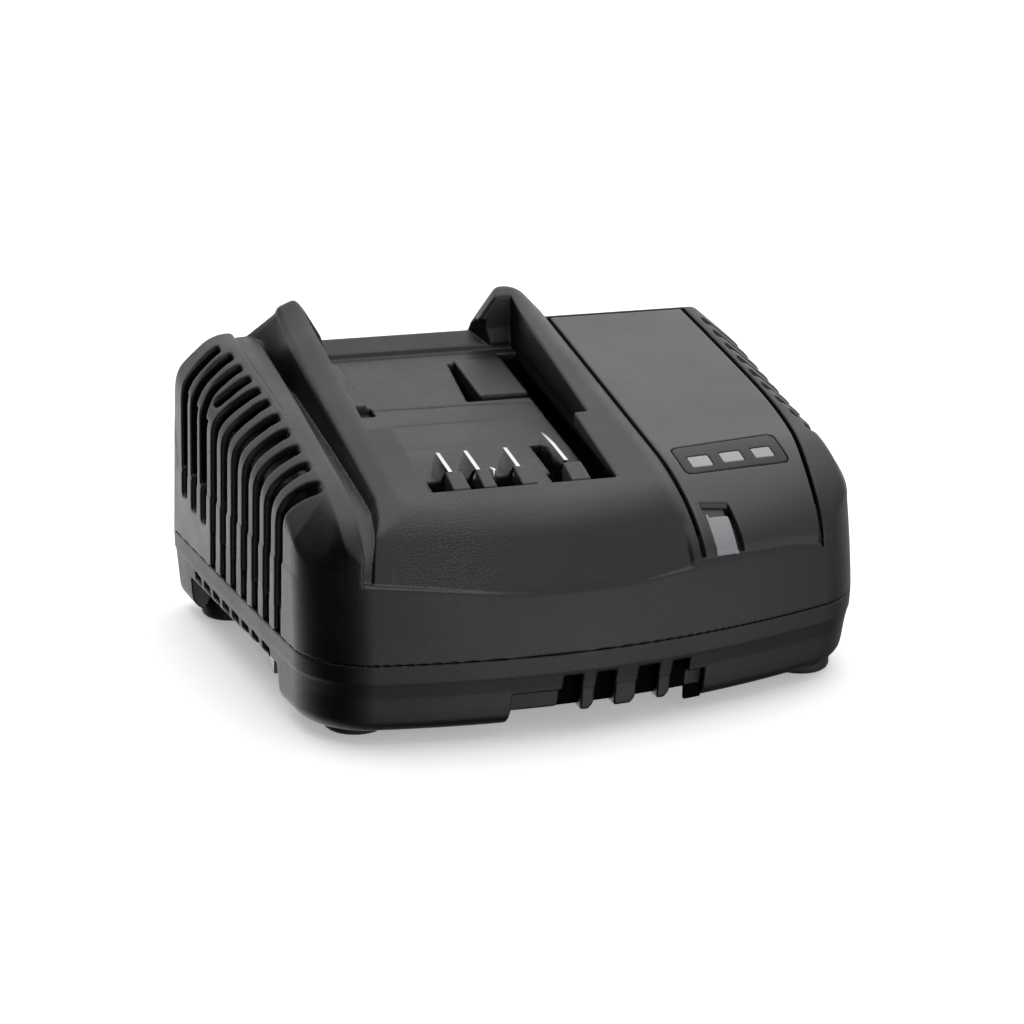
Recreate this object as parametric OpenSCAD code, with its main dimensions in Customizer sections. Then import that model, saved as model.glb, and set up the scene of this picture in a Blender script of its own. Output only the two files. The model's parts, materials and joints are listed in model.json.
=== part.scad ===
// Desktop charger for slide-on power tool battery packs.
// Frame: origin at the middle of the footprint on the table, +X to the right
// seen from the front, +Y to the back, +Z up. Millimetres.

/* [Case] */
// Height of the parting line above the table
parting_z = 22; // [20:0.5:24]
// Wall thickness of both shells
wall = 2.4; // [2:0.1:3]
// Height of the shell's underside above the table
floor_gap = 2.6; // [2:0.1:3.5]
// Half width of the case at mid depth
half_w = 79.2; // [78.5:0.1:80]

/* [Battery dock] */
// Left inner face of the dock, x
dock_x0 = -47; // [-48:0.5:-46]
// Right inner face of the dock, x
dock_x1 = 11.5; // [11:0.5:12]
// Front wall of the dock, y
dock_front_y = -37.6; // [-38:0.1:-37]
// Where the overhanging lips begin, y
lip_y = -5.1; // [-6:0.1:-4]
// Width that each lip overhangs the floor
lip_w = 5; // [4:0.5:6]
// Height of the slot under the lips
lip_slot = 3.6; // [3:0.1:4]

/* [Terminals] */
// Thickness of a terminal blade
blade_t = 1.1; // [0.6:0.1:1.2]
// Height that a blade stands over the dock floor
blade_h = 5.6; // [5:0.1:6]

/* [Grilles] */
// Number of upright slots in the left grille
slot_n = 10; // [8:1:10]
// Spacing of the slots
slot_pitch = 8.98; // [8.9:0.01:9.1]
// Width of a slot
slot_w = 4.5; // [3.5:0.1:5]

/* [Cooling fan] */
// Side of the square fan frame
fan_size = 50; // [48:1:50]
// Depth of the fan
fan_depth = 15; // [12:1:15]
// Number of fan blades
fan_blades = 7; // [5:1:9]
// Radius of the rotor shaft
shaft_r = 1.5; // [1.2:0.1:2]
// Radial running clearance of the shaft
shaft_gap = 0.05; // [0.03:0.01:0.08]

/* [Mains inlet] */
// Radius of an inlet pin
pin_r = 1.2; // [1.15:0.05:1.25]
// Distance between the inlet pins
pin_pitch = 8.6; // [8.4:0.1:8.8]

/* [Hidden] */
$fn = 48;

back_y = 64.9;
board_z = 11;          // underside of the main board
board_t = 1.6;
fan_c = [-66.5, 12, 30.1];   // middle of the fan
feet = [[-60.5, -40.6], [61, -32.6], [-70.5, 50.9], [70.5, 50.9]];
case_bolts = [[-57, -24], [62, -12], [-56, 56], [60, 57]];
boss_top = [56, 56, 76, 66];
board_bolts = [[-44, -34], [66, -25], [-44, 48], [66, 40]];
inlet_x = 42;
floor_slope = 0.158;
rail_slope = 0.25;

function side_x(y) = half_w + 0.0734 * y;
function front_y(x) = -64.1 + 7.3 * (x / 80) + 16.4 * pow(x / 80, 2) - 0.6 * pow(x / 80, 4);
function bez(a, b, c, n) = [for (i = [0 : n]) let (t = i / n)
    [a[0]*(1-t)*(1-t) + 2*b[0]*t*(1-t) + c[0]*t*t, a[1]*(1-t)*(1-t) + 2*b[1]*t*(1-t) + c[1]*t*t]];
// height of the dock floor and of the rail tops at depth y
function floor_z(y) = 62 + floor_slope * (y - 21.8);
function rail_z(y) = 65.5 + rail_slope * (y + 5.1);

// plan outline of the case, moved inwards by d
function outline(d = 0) = concat(
    bez([-side_x(-44) + d, -44], [-75 + d, -57 + d], [-62, front_y(-62) + d], 8),
    [for (x = [-52 : 10 : 58]) [x, front_y(x) + d]],
    bez([64, front_y(64) + d], [76.1 - d, -42.8 + d], [side_x(-27) - d, -27], 8),
    bez([side_x(60) - d, 60 - d], [side_x(65) - d, back_y - d], [side_x(60) - 5, back_y - d], 5),
    bez([-side_x(60) + 5, back_y - d], [-side_x(65) + d, back_y - d], [-side_x(60) + d, 60 - d], 5));

module plan(z0, z1, d = 0) { translate([0, 0, z0]) linear_extrude(z1 - z0) polygon(outline(d)); }
// prism along X from a (y, z) outline
module yz(x0, x1, pts) { translate([x0, 0, 0]) rotate([90, 0, 90]) linear_extrude(x1 - x0) polygon(pts); }
// prism along Y from an (x, z) outline
module xz(y0, y1, pts) { translate([0, y1, 0]) rotate([90, 0, 0]) linear_extrude(y1 - y0) polygon(pts); }
// prism that runs forwards and down from the back with the given slope
module xz_slope(slope, pts) { translate([0, 70, 0]) rotate([90 + atan(slope), 0, 0]) linear_extrude(150) polygon(pts); }
module box(a, b) { translate(a) cube(b - a); }

// ---- outer form of the upper shell, moved inwards by d
function panel_line(d) = [[back_y - d, parting_z - 1], [63.6 - d, 70 - d], [61 - d, 73.4 - d], [18.6, 66.1 - d],
    [-22.7 + d * 0.2, 58.4 - d], [-42 + d * 0.4, 52.2 - d], [-50 + d * 0.7, 47 - d * 0.8], [-56.8 + d, 40.5 - d * 0.5],
    [-60 + d, 33], [-61.2 + d, parting_z - 1]];
module upper_outer(d = 0) {
    intersection() {
        plan(parting_z - (d > 0 ? 1 : 0), 90, d);
        union() {
            // front band
            box([-90, -70, parting_z - 1], [90, 64, 36.5 - d * 0.6]);
            // left flank under the sloped grille arms
            intersection() {
                yz(-90, -56, [[back_y - d, 21], [63.6 - d, 70 - d], [60 - d, 75.5 - d], [-55 + d, 52 - d], [-66, 30], [-66, 21]]);
                xz_slope(0.185, [[-84.6 + d, 0], [-83.6 + d, 67.2 - d * 0.5], [-72, 76.2 - d], [-60, 76 - d], [-20, 76 - d], [-20, 0]]);
            }
            // dock block with its rails, running down to the rounded nose
            difference() {
                yz(-60.4 + d, 21.7 - d, [[back_y - d, 21], [63.6 - d, 82 - d], [61.5 - d, 83.7 - d], [55, 82 - d],
                    [-5, 65.8 - d], [-44, 56.4 - d], [-49.5 + d * 0.5, 54.4 - d], [-52.5 + d * 0.8, 50.8 - d * 0.8],
                    [-60.6 + d, 38 - d * 0.4], [-66, 34], [-66, 21]]);
                fin_trim(d);
            }
            intersection() {
                yz(-68, -57, [[back_y - d, 21], [20, 60 - d], [-44, 52 - d], [-50, 49 - d], [-61 + d, 38 - d], [-66, 34], [-66, 21]]);
                plan(21, 90, d);
            }
            // right block under the panel and its rounded shoulder
            intersection() {
                yz(20 - d * 0.7, 90, panel_line(d));
                xz_slope(0.185, [[10, 0], [10, 77 - d], [65, 76 - d], [70, 73.4 - d], [75.5, 69.5 - d], [80.5 - d * 0.6, 64 - d * 0.7], [84.6 - d, 56 - d * 0.5], [85 - d, 0]]);
                union() {
                    box([10, -49, 0], [90, 70, 100]);
                    translate([23, -56.5 + d, 0]) rotate([0, 0, 19.5]) box([-8, -4, 0], [90, 60, 100]);
                    box([10, -70, 0], [90, 0, 34]);
                }
            }
        }
    }
}
// takes the outer corners off the two rails and fins
module fin_trim(d = 0) {
    translate([0, 0, -d * 0.8]) {
        xz_slope(rail_slope, [[-70, 75.3], [-60.4, 75.3], [-51.9, 83.2], [-50, 84.4], [-50, 95], [-70, 95]]);
        xz_slope(rail_slope, [[12, 84], [13, 82.9], [16.3, 81.2], [21.7, 75.1], [30, 75.1], [30, 95], [12, 95]]);
    }
}
// free space of the battery dock
module dock_space() {
    f0 = floor_z(dock_front_y); f1 = floor_z(lip_y); f2 = floor_z(56);
    yz(dock_x0, dock_x1, [[lip_y, f1], [56, f2], [56, 100], [lip_y, 100]]);
    yz(dock_x0, dock_x1, [[dock_front_y, f0], [lip_y + 0.1, f1 + 0.016], [lip_y + 0.1, f1 + lip_slot], [dock_front_y, f0 + 2.4]]);
    yz(dock_x0 + lip_w + 1.4, dock_x1 - lip_w + 1.3, [[dock_front_y, f0], [lip_y + 0.1, f1 + 0.016], [lip_y + 0.1, 100], [dock_front_y, 100]]);
    box([dock_x0, 55.9, 72.7], [dock_x1, 70, 100]);
}
// the slot that the terminal blades and their holder come up through
module terminal_slot() {
    box([-39.6, dock_front_y, 40], [5.2, -12.4, 64]);
    box([-6.4, -20, 40], [3.2, -0.6, 64]);
}
// upright slots of the left grille, each going on over the sloped arm
module left_slots() {
    for (k = [0 : slot_n - 1]) {
        y = 50.4 - slot_pitch * k; xo = -side_x(y);
        zb = 33.5 - 0.55 * k; zt = 64.5 - 1.5 * k;
        xz(y - slot_w / 2, y + slot_w / 2, [[-92, zb], [xo + wall + 1.4, zb], [xo + wall + 1.4, zt - 1.4],
            [xo + 12, zt + 5.6], [xo + 12, zt + 14], [-92, zt + 14]]);
    }
}
// slanted outlet slots of the right shoulder
module right_slots() {
    for (k = [0 : 8]) translate([66.5, 52.4 - 9 * k, 68.6 - 1.55 * k]) rotate([0, 33, 0])
        translate([0, -2.2, -9]) cube([11, 4.4, 14]);
}
module panel_recess(g) {
    intersection() {
        translate([0, 0, -g]) yz(23.7 - g / 2, 62.3 + g / 2, concat([for (p = panel_line(0)) if (p[1] > 40) [p[0], p[1] - 1.8]],
            [[-64, 36], [-80, 36], [-80, 100], [70, 100]]));
        box([20, -80, 40.2], [70, 61.5, 100]);
    }
}
module bosses(z0, z1, r) { for (p = case_bolts) translate([p[0], p[1], z0]) cylinder(h = z1 - z0, r = r); }

module upper_shell() {
    color([0.10, 0.10, 0.105]) difference() {
        union() {
            difference() {
                upper_outer();
                difference() {
                    translate([0, 0, -0.01]) upper_outer(wall);
                    // walls and underside of the dock
                    yz(dock_x0 - wall, dock_x1 + wall, [[dock_front_y - wall, floor_z(dock_front_y) - wall], [back_y, floor_z(back_y) - wall], [back_y, 100], [dock_front_y - wall, 100]]);
                    intersection() {
                        union() { box([-62, -60, 60], [dock_x0, 70, 100]); box([dock_x1, -60, 60], [23, 70, 100]); }
                        yz(-70, 30, [[64, 76.6], [-45, 50], [-45, 100], [64, 100]]);
                    }
                    // ledge under the top panel
                    intersection() { translate([0, 0, -4]) panel_recess(2); upper_outer(0); }
                }
            }
            // posts that carry the LED board
            for (x = [29.4, 57.8]) translate([x, -27, 41.2]) cylinder(h = 10.5, r = 2);
            for (i = [0 : 3]) translate([case_bolts[i][0], case_bolts[i][1], parting_z + 3]) cylinder(h = boss_top[i] - parting_z - 3, r = 4);
        }
        dock_space();
        terminal_slot();
        left_slots();
        right_slots();
        panel_recess(0.3);
        // windows through the ledge for the gauge and the light pipe
        box([31, -36, 40], [58, -26, 70]);
        box([28.6, -55.4, 30], [36.4, -39.2, 60]);
        bosses(10, 36, 1.3);
        // back wall opening for the mains inlet
        box([inlet_x - 12, 55, parting_z - 2], [inlet_x + 12, 70, 27.2]);
    }
}

function low_profile(d) = [[-90 + d, parting_z], [-81.6 + d, 16.6], [-79 + d, 5.2 + d], [-76 + d, floor_gap + d],
    [76 - d, floor_gap + d], [79 - d, 5.2 + d], [81.6 - d, 16.6], [90 - d, parting_z]];
module lower_outer(d = 0) {
    intersection() {
        plan(floor_gap + d, parting_z, d);
        xz(-80, 80, [[-86, parting_z + 0.01], [-85.5 + d, 17], [-80.6 + d, 5.5 + d], [-77.5 + d, floor_gap + d],
            [77.5 - d, floor_gap + d], [80.6 - d, 5.5 + d], [85.5 - d, 17], [86, parting_z + 0.01]]);
        yz(-90, 90, [[-66, parting_z + 0.01], [-65.4 + d, 17], [-62.5 + d, 5.5 + d], [-59.5 + d, floor_gap + d],
            [61 - d, floor_gap + d], [64 - d, 5.5 + d], [66 - d, 17], [66, parting_z + 0.01]]);
    }
}
// cut-out low on the front, with the air slots behind it
module front_cutout(d = 0) { box([-25 - d, -80, -1], [24 + d, -57.6 + d, 15.6 + d]); }
module lower_shell() {
    color([0.09, 0.09, 0.095]) difference() {
        union() {
            difference() {
                lower_outer();
                difference() {
                    translate([0, 0, 0.01]) lower_outer(wall);
                    front_cutout(wall);
                    for (p = feet) translate([p[0], p[1], 0]) cylinder(h = floor_gap + wall + 2, r = 9.6);
                }
                translate([0, 0, parting_z - 0.02]) plan(0, 10, -3);
                front_cutout();
            }
            // teeth between the front air slots
            for (x = [-5.5, 8, 21.5]) box([x - 3.2, -62.5, floor_gap + 1], [x + 3.2, -56, 14.4]);
            // screw posts and board posts
            difference() {
                bosses(floor_gap + 0.5, parting_z + 2.9, 4);
            }
            for (p = board_bolts) translate([p[0], p[1], floor_gap + 0.5]) cylinder(h = board_z - floor_gap - 0.5, r = 3.5);
            // lower half of the fan pocket
            for (s = [-1, 1]) translate([fan_c[0] - fan_depth / 2 - 1, fan_c[1] + s * (fan_size / 2 + 1.2) - 0.8, floor_gap + 1])
                cube([fan_depth + 2, 1.6, 9]);
        }
        bosses(-1, 40, 1.7);
        bosses(-1, floor_gap + 6, 3.2);
        for (p = board_bolts) translate([p[0], p[1], 5.4]) cylinder(h = 20, r = 1.2);
        for (p = feet) translate([p[0], p[1], -1]) cylinder(h = 1 + floor_gap + 1.6, r = 8);
        for (p = feet) translate([p[0], p[1], 0]) cylinder(h = 20, r = 1.6);
        // front air slots
        for (x = [-12.4, 1.2, 14.8]) box([x - 3.4, -70, floor_gap + 2.6], [x + 3.4, -50, 14]);
        // small slots along the left side
        for (k = [0 : 7]) translate([-90, 34 - 9 * k, 11.2]) cube([14, 3.4, 7.2]);
        // air slots in the underside
        for (k = [0 : 6]) translate([-30 + 12 * k, -20, 0]) cube([5, 44, 10]);
        // back wall opening for the mains inlet
        box([inlet_x - 12, 55, 9.8], [inlet_x + 12, 70, parting_z + 2]);
    }
}

module top_panel() {
    color([0.14, 0.14, 0.145]) difference() {
        intersection() {
            difference() {
                yz(24.1, 61.9, [for (p = panel_line(0)) if (p[1] > 34) p]);
                translate([0, 0, -1.8]) yz(20, 70, concat([for (p = panel_line(0)) if (p[1] > 40) p], [[-64, 37], [-64, 0], [70, 0]]));
            }
            box([20, -80, 41], [70, 61.2, 100]);
            upper_outer(0);
        }
        gauge_seat(0.05);
        box([28.8, -55.2, 30], [36.2, -45.6, 60]);
    }
}
module gauge_seat(g) { translate([44.1, -25.4, 57.6]) rotate([12, 0, -3]) translate([-15 - g, -5 - g, -1.2]) cube([30 + 2 * g, 10 + 2 * g, 8]); }
module gauge_lens() {
    color([0.05, 0.05, 0.055]) difference() {
        translate([44.1, -25.4, 57.6]) rotate([12, 0, -3]) translate([-15, -5, -1.2]) cube([30, 10, 1.2]);
        for (k = [-1 : 1]) gauge_window_at(k, 0.05);
    }
}
module gauge_window_at(k, g) { translate([44.1, -25.4, 57.6]) rotate([12, 0, -3]) translate([k * 8.6 - 3 - g, -2.4 - g, -1.2 - g]) cube([6 + 2 * g, 4.8 + 2 * g, 1.1 + 2 * g]); }
module gauge_windows() { color([0.75, 0.76, 0.76]) for (k = [-1 : 1]) gauge_window_at(k, 0); }
module status_light_pipe() {
    color([0.8, 0.82, 0.83, 0.7]) intersection() {
        box([29, -55, 33], [36, -45.8, 60]);
        translate([0, 0, -0.7]) difference() {
            yz(28, 38, [for (p = panel_line(0)) if (p[1] > 34) p]);
            translate([0, 2.2, -2.2]) yz(20, 70, concat([for (p = panel_line(0)) if (p[1] > 40) p], [[-64, 37], [-64, 0], [70, 0]]));
        }
    }
}

// ---- terminals
blade_x = [-33, -25.8, -15.4, -1];
module terminal_holder() {
    color([0.07, 0.07, 0.075]) difference() {
        union() {
            // block that carries the blades, its top level with the dock floor
            yz(-39.4, 5, [[dock_front_y + 0.2, 49.6], [dock_front_y + 0.2, floor_z(dock_front_y) - 0.1], [-12.6, floor_z(-12.6) - 0.1], [-12.6, 49.6]]);
            yz(-6.2, 3, [[-20, 49.6], [-20, floor_z(-20) - 0.1], [-0.8, floor_z(-0.8) - 0.1], [-0.8, 49.6]]);
            // wedge in front of each blade
            for (x = blade_x) yz(x - 1.1, x + 3.3, [[dock_front_y + 0.2, 51], [dock_front_y + 0.2, 56.9], [-30.2, 59], [-30.2, 51]]);
        }
        for (i = [0 : 3]) box([blade_x[i] - blade_t / 2, -36.6, 40], [blade_x[i] + blade_t / 2, i == 3 ? -1.4 : -13, 70]);
        box([-19.8 - blade_t / 2, -25.4, 40], [-19.8 + blade_t / 2, -21.8, 70]);
        // open pocket beside each wedge
        for (x = [-36.8, -29.5, -22.6, -12.0, 2.4]) box([x, dock_front_y + 0.6, 52], [x + 2.4, -29, 70]);
    }
}
module blade(i, back) {
    color([0.78, 0.79, 0.8]) yz(blade_x[i] - blade_t / 2, blade_x[i] + blade_t / 2,
        [[-36.4, 46.5], [-36.4, 55.4], [-35, 57.8], [-31, 59], [back - 4.6, 61.1 - (i == 3 ? 0.3 : 0)], [back - 3.6, 60.5], [back - 0.4, 55.4], [back, 46.5]]);
}
module terminal_blade_1() { blade(0, -13.2); }
module terminal_blade_2() { blade(1, -13.2); }
module terminal_blade_3() { blade(2, -13.2); }
module terminal_blade_4() { blade(3, -1.6); }
module terminal_contact_5() { color([0.78, 0.79, 0.8]) box([-19.8 - blade_t / 2, -25.2, 46.5], [-19.8 + blade_t / 2, -22, 57.4]); }

// ---- electronics
module main_board() {
    color([0.10, 0.33, 0.16]) difference() {
        box([-50, -40, board_z], [69.6, 55, board_z + board_t]);
        for (p = board_bolts) translate([p[0], p[1], 0]) cylinder(h = 30, r = 1.6);
        translate([62, -12, 0]) cylinder(h = 30, r = 4.6);
        translate([60, 57, 0]) cylinder(h = 30, r = 4.8);
        for (s = [-1, 1]) translate([inlet_x + s * pin_pitch / 2, 50, 0]) cylinder(h = 30, r = 1.2);
    }
}
module led_board() { color([0.10, 0.33, 0.16]) difference() { box([26.5, -44.6, 40], [60, -24, 41.2]); translate([32.5, -49, 0]) cylinder(h = 60, r = 1); } }
module gauge_leds() { color([0.9, 0.9, 0.85]) for (k = [-1 : 1]) translate([44.1 + k * 8.6, -28, 41.2]) { translate([-1.8, -1.4, 0]) cube([3.6, 2.8, 1]); translate([0, 0, 1]) cylinder(h = 0.6, r = 1.1); } }
module status_led() { color([0.9, 0.9, 0.85]) translate([32.6, -42, 41.2]) { cylinder(h = 1, r = 2.4); translate([0, 0, 1]) cylinder(h = 2.6, r = 1.9); } }
top = board_z + board_t;
module transformer_core() {
    color([0.25, 0.24, 0.24]) difference() {
        box([-7.7, -10, top + 1.5], [13.7, 22, top + 28]);
        box([-20, -3, top + 6], [26, 15, top + 23.5]);
    }
}
module transformer_bobbin() {
    color([0.85, 0.78, 0.5]) {
        difference() {
            union() {
                box([-9.5, -2.6, top + 6.4], [-8, 14.6, top + 23.1]);
                box([14, -2.6, top + 6.4], [15.5, 14.6, top + 23.1]);
                translate([-8, 6, top + 14.75]) rotate([0, 90, 0]) cylinder(h = 22, r = 4.4);
            }
        }
        for (s = [0, 1]) box([-9.5 + s * 23.5, -2.6, top], [-8 + s * 23.5, 14.6, top + 6.5]);
    }
}
module transformer_winding() {
    color([0.72, 0.42, 0.16]) translate([-7.9, 6, top + 14.75]) rotate([0, 90, 0]) difference() {
        cylinder(h = 21.8, r = 7.9); translate([0, 0, -1]) cylinder(h = 30, r = 4.5);
    }
}
module bulk_capacitor() { color([0.08, 0.09, 0.14]) translate([54, 4, top]) { cylinder(h = 30, r = 11); translate([0, 0, 30]) cylinder(h = 0.6, r = 10); } }
module output_capacitors() { color([0.10, 0.10, 0.16]) for (y = [-30, -17]) translate([-26, y, top]) { cylinder(h = 20, r = 5); translate([0, 0, 20]) cylinder(h = 0.4, r = 4.3); } }
module mains_choke_core() { color([0.2, 0.2, 0.22]) translate([27, 38, top + 12.2]) rotate([90, 0, 0]) difference() { translate([0, 0, -4]) cylinder(h = 8, r = 10); translate([0, 0, -5]) cylinder(h = 10, r = 5.4); } }
module mains_choke_winding() {
    color([0.72, 0.42, 0.16]) translate([27, 38, top + 12.2]) rotate([90, 0, 0])
        for (a = [-60 : 15 : 60], s = [0, 180]) rotate([0, 0, a + s]) translate([7.7, 0, 0]) rotate([90, 0, 0])
            difference() { cube([6.4, 9.8, 1.2], center = true); cube([4.7, 8.1, 2], center = true); }
}
module film_capacitor() { color([0.85, 0.68, 0.15]) box([4, 32, top], [14.5, 48, top + 12]); }
module fuse() {
    color([0.82, 0.82, 0.78]) translate([56, 30, top + 4]) rotate([90, 0, 0]) { translate([0, 0, -10]) cylinder(h = 20, r = 2.4); for (s = [-10.1, 6]) translate([0, 0, s]) cylinder(h = 4.1, r = 2.7); }
    color([0.8, 0.8, 0.8]) for (s = [22, 35.4]) box([55, s, top], [57, s + 2.6, top + 1.5]);
}
module varistor() { color([0.15, 0.3, 0.6]) translate([40, 28, top + 6.2]) rotate([90, 0, 0]) cylinder(h = 4, r = 6); }
module bridge_rectifier() { color([0.06, 0.06, 0.06]) box([30, 16, top], [46, 20, top + 12]); }
module fins_block(x0, y0, n, len, h) {
    difference() {
        box([x0, y0, top], [x0 + 2.4 + n * 4, y0 + len, top + h]);
        for (i = [0 : n - 1]) box([x0 + 2.4 + i * 4 + 0.6, y0 - 1, top + 3], [x0 + 2.4 + i * 4 + 4 - 0.6 + 0.6, y0 + len + 1, top + h + 1]);
    }
}
module primary_heatsink() { color([0.72, 0.73, 0.74]) difference() { fins_block(28, -32, 3, 42, 27); translate([24, -11, top + 14]) rotate([0, 90, 0]) cylinder(h = 6.6, r = 1.3); } }
module switching_transistor() { color([0.06, 0.06, 0.06]) difference() { box([23.4, -16, top + 1], [27.9, -6, top + 17]); translate([20, -11, top + 14]) rotate([0, 90, 0]) cylinder(h = 20, r = 1.6); } }
module output_heatsink() { color([0.72, 0.73, 0.74]) difference() { fins_block(-40, -2, 3, 42, 27); translate([-27, 19, top + 14]) rotate([0, 90, 0]) cylinder(h = 1, r = 1.3); } }
module output_rectifier() { color([0.06, 0.06, 0.06]) difference() { box([-25.5, 14, top + 1], [-21, 24, top + 17]); translate([-30, 19, top + 14]) rotate([0, 90, 0]) cylinder(h = 20, r = 1.6); } }
module control_chips() { color([0.06, 0.06, 0.06]) { box([-12, -30, top], [-2, -24, top + 1.8]); box([4, -32, top], [16, -22, top + 1.6]); box([-12, -20, top], [-6, -15, top + 1.6]); } }
module optocoupler() { color([0.06, 0.06, 0.06]) box([6, -18, top], [12.4, -13.4, top + 3.6]); }

// ---- mains inlet: rounded shroud with a figure-eight socket
module inlet_body() {
    color([0.05, 0.05, 0.05]) translate([inlet_x, 0, 0]) difference() {
        union() {
            box([-10, 48.5, top], [10, 62.4, 25.4]);
            box([-11.7, 60.2, 10.2], [11.7, 61.8, 27]);
            box([-9.6, 61, 13], [9.6, 64.7, 25]);
        }
        for (s = [-1, 1]) translate([s * pin_pitch / 2, 53, 19]) rotate([-90, 0, 0]) cylinder(h = 20, r = 3.9);
        box([-pin_pitch / 2, 53, 16], [pin_pitch / 2, 70, 22]);
        for (s = [-1, 1]) translate([s * pin_pitch / 2, 50, 19]) {
            rotate([-90, 0, 0]) cylinder(h = 10, r = 0.95);
            translate([0, 0, -10]) cylinder(h = 10, r = 0.95);
        }
    }
}
module inlet_pins() {
    color([0.8, 0.81, 0.82]) translate([inlet_x, 0, 0]) for (s = [-1, 1]) translate([s * pin_pitch / 2, 0, 0]) {
        translate([0, 53, 19]) rotate([-90, 0, 0]) cylinder(h = 10, r = pin_r);
        translate([0, 50, 19]) rotate([-90, 0, 0]) cylinder(h = 4, r = 0.95);
        translate([0, 50, board_z - 2]) cylinder(h = 10, r = 0.95);
    }
}

// ---- fan
module fan_frame() {
    color([0.07, 0.07, 0.07]) translate([fan_c[0], fan_c[1], fan_c[2]]) rotate([0, 90, 0]) difference() {
        union() {
            difference() {
                translate([-fan_size / 2, -fan_size / 2, -fan_depth / 2]) cube([fan_size, fan_size, fan_depth]);
                translate([0, 0, -20]) cylinder(h = 40, r = fan_size / 2 - 1.4);
            }
            translate([0, 0, fan_depth / 2 - 2]) {
                cylinder(h = 2, r = 11);
                for (a = [45 : 90 : 315]) rotate([0, 0, a]) translate([8, -1.2, 0]) cube([17, 2.4, 2]);
            }
            translate([0, 0, -2.5]) cylinder(h = fan_depth / 2 + 1.5, r = 3.2);
        }
        translate([0, 0, -20]) cylinder(h = 40, r = shaft_r + shaft_gap);
        for (sx = [-1, 1], sy = [-1, 1]) translate([sx * 20, sy * 20, -20]) cylinder(h = 40, r = 1.9);
    }
}
module fan_rotor() {
    color([0.09, 0.09, 0.09]) translate([fan_c[0], fan_c[1], fan_c[2]]) rotate([0, 90, 0]) {
        difference() {
            translate([0, 0, -6.6]) cylinder(h = 11.4, r = 10.6);
            translate([0, 0, -4]) cylinder(h = 10, r = 9.4);
            translate([0, 0, -8]) cylinder(h = 10, r = shaft_r);
        }
        intersection() {
            for (a = [0 : 360 / fan_blades : 359]) rotate([0, 0, a]) translate([10.2, 0, -1]) rotate([40, 0, 0])
                translate([0, -6.6, -0.5]) cube([14, 13.2, 1]);
            difference() { translate([0, 0, -6.4]) cylinder(h = 11, r = 22.8); translate([0, 0, -8]) cylinder(h = 20, r = 10.1); }
        }
    }
}
module fan_shaft() { color([0.7, 0.7, 0.72]) translate([fan_c[0], fan_c[1], fan_c[2]]) rotate([0, 90, 0]) translate([0, 0, -6.4]) cylinder(h = 13.4, r = shaft_r); }
module fan_screws() {
    color([0.7, 0.7, 0.72]) translate([fan_c[0], fan_c[1], fan_c[2]]) rotate([0, 90, 0]) for (sx = [-1, 1]) translate([sx * 20, -sx * 20, 0]) {
        translate([0, 0, fan_depth / 2 + 0.01]) cylinder(h = 1.8, r = 3);
        translate([0, 0, -fan_depth / 2 + 1]) cylinder(h = fan_depth - 1 + 0.02, r = 1.5);
    }
}
// ---- leads, each a run of straight insulated wires along the axes
module lead(pts, w) {
    for (i = [0 : len(pts) - 2]) {
        lo = [for (k = [0 : 2]) min(pts[i][k], pts[i + 1][k]) - w / 2];
        hi = [for (k = [0 : 2]) max(pts[i][k], pts[i + 1][k]) + w / 2];
        translate(lo) cube(hi - lo);
    }
}
module fan_lead() { color([0.7, 0.1, 0.08]) for (s = [0, 1]) lead([[-58.2, -6 - s * 2.4, 17], [-46, -6 - s * 2.4, 17], [-46, -6 - s * 2.4, top + 0.8]], 1.6); }
module terminal_leads() {
    color([0.7, 0.1, 0.08]) lead([[-33, -31, 45], [-33, -31, 30], [-33, -22.6, 30], [-33, -22.6, top + 1.4]], 2.8);
    color([0.1, 0.1, 0.1]) lead([[-1, -28, 45], [-1, -28, 30], [19, -28, 30], [19, -28, top + 1.4]], 2.8);
}
module led_ribbon() { color([0.75, 0.75, 0.72]) for (i = [0 : 4]) lead([[50 + i * 1.6, -38, 39.4], [50 + i * 1.6, -38, top + 0.6]], 1.2); }

// ---- fasteners and feet
module case_screws() { color([0.6, 0.6, 0.62]) for (p = case_bolts) translate([p[0], p[1], 0]) { translate([0, 0, floor_gap + 3.4]) cylinder(h = 2.6, r = 3); translate([0, 0, floor_gap + 5.9]) cylinder(h = 26, r = 1.3); } }
module board_screws() { color([0.6, 0.6, 0.62]) for (p = board_bolts) translate([p[0], p[1], 0]) { translate([0, 0, top]) cylinder(h = 2, r = 2.8); translate([0, 0, 5.6]) cylinder(h = top - 5.5, r = 1.2); } }
module rubber_feet() {
    color([0.12, 0.12, 0.12]) for (p = feet) translate([p[0], p[1], 0]) {
        cylinder(h = 3, r = 7.6); translate([0, 0, 2.9]) cylinder(h = 1.2, r = 7.9);
        translate([0, 0, 4]) cylinder(h = 3.4, r = 1.5);
        translate([0, 0, floor_gap + wall + 2.01]) cylinder(h = 1, r = 2.2);
    }
}

upper_shell();
lower_shell();
top_panel();
gauge_lens();
gauge_windows();
status_light_pipe();
terminal_holder();
terminal_blade_1();
terminal_blade_2();
terminal_blade_3();
terminal_blade_4();
terminal_contact_5();
main_board();
led_board();
gauge_leds();
status_led();
transformer_core();
transformer_bobbin();
transformer_winding();
bulk_capacitor();
output_capacitors();
mains_choke_core();
mains_choke_winding();
film_capacitor();
fuse();
varistor();
bridge_rectifier();
primary_heatsink();
switching_transistor();
output_heatsink();
output_rectifier();
control_chips();
optocoupler();
inlet_body();
inlet_pins();
fan_frame();
fan_rotor();
fan_shaft();
fan_screws();
fan_lead();
terminal_leads();
led_ribbon();
case_screws();
board_screws();
rubber_feet();
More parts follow.
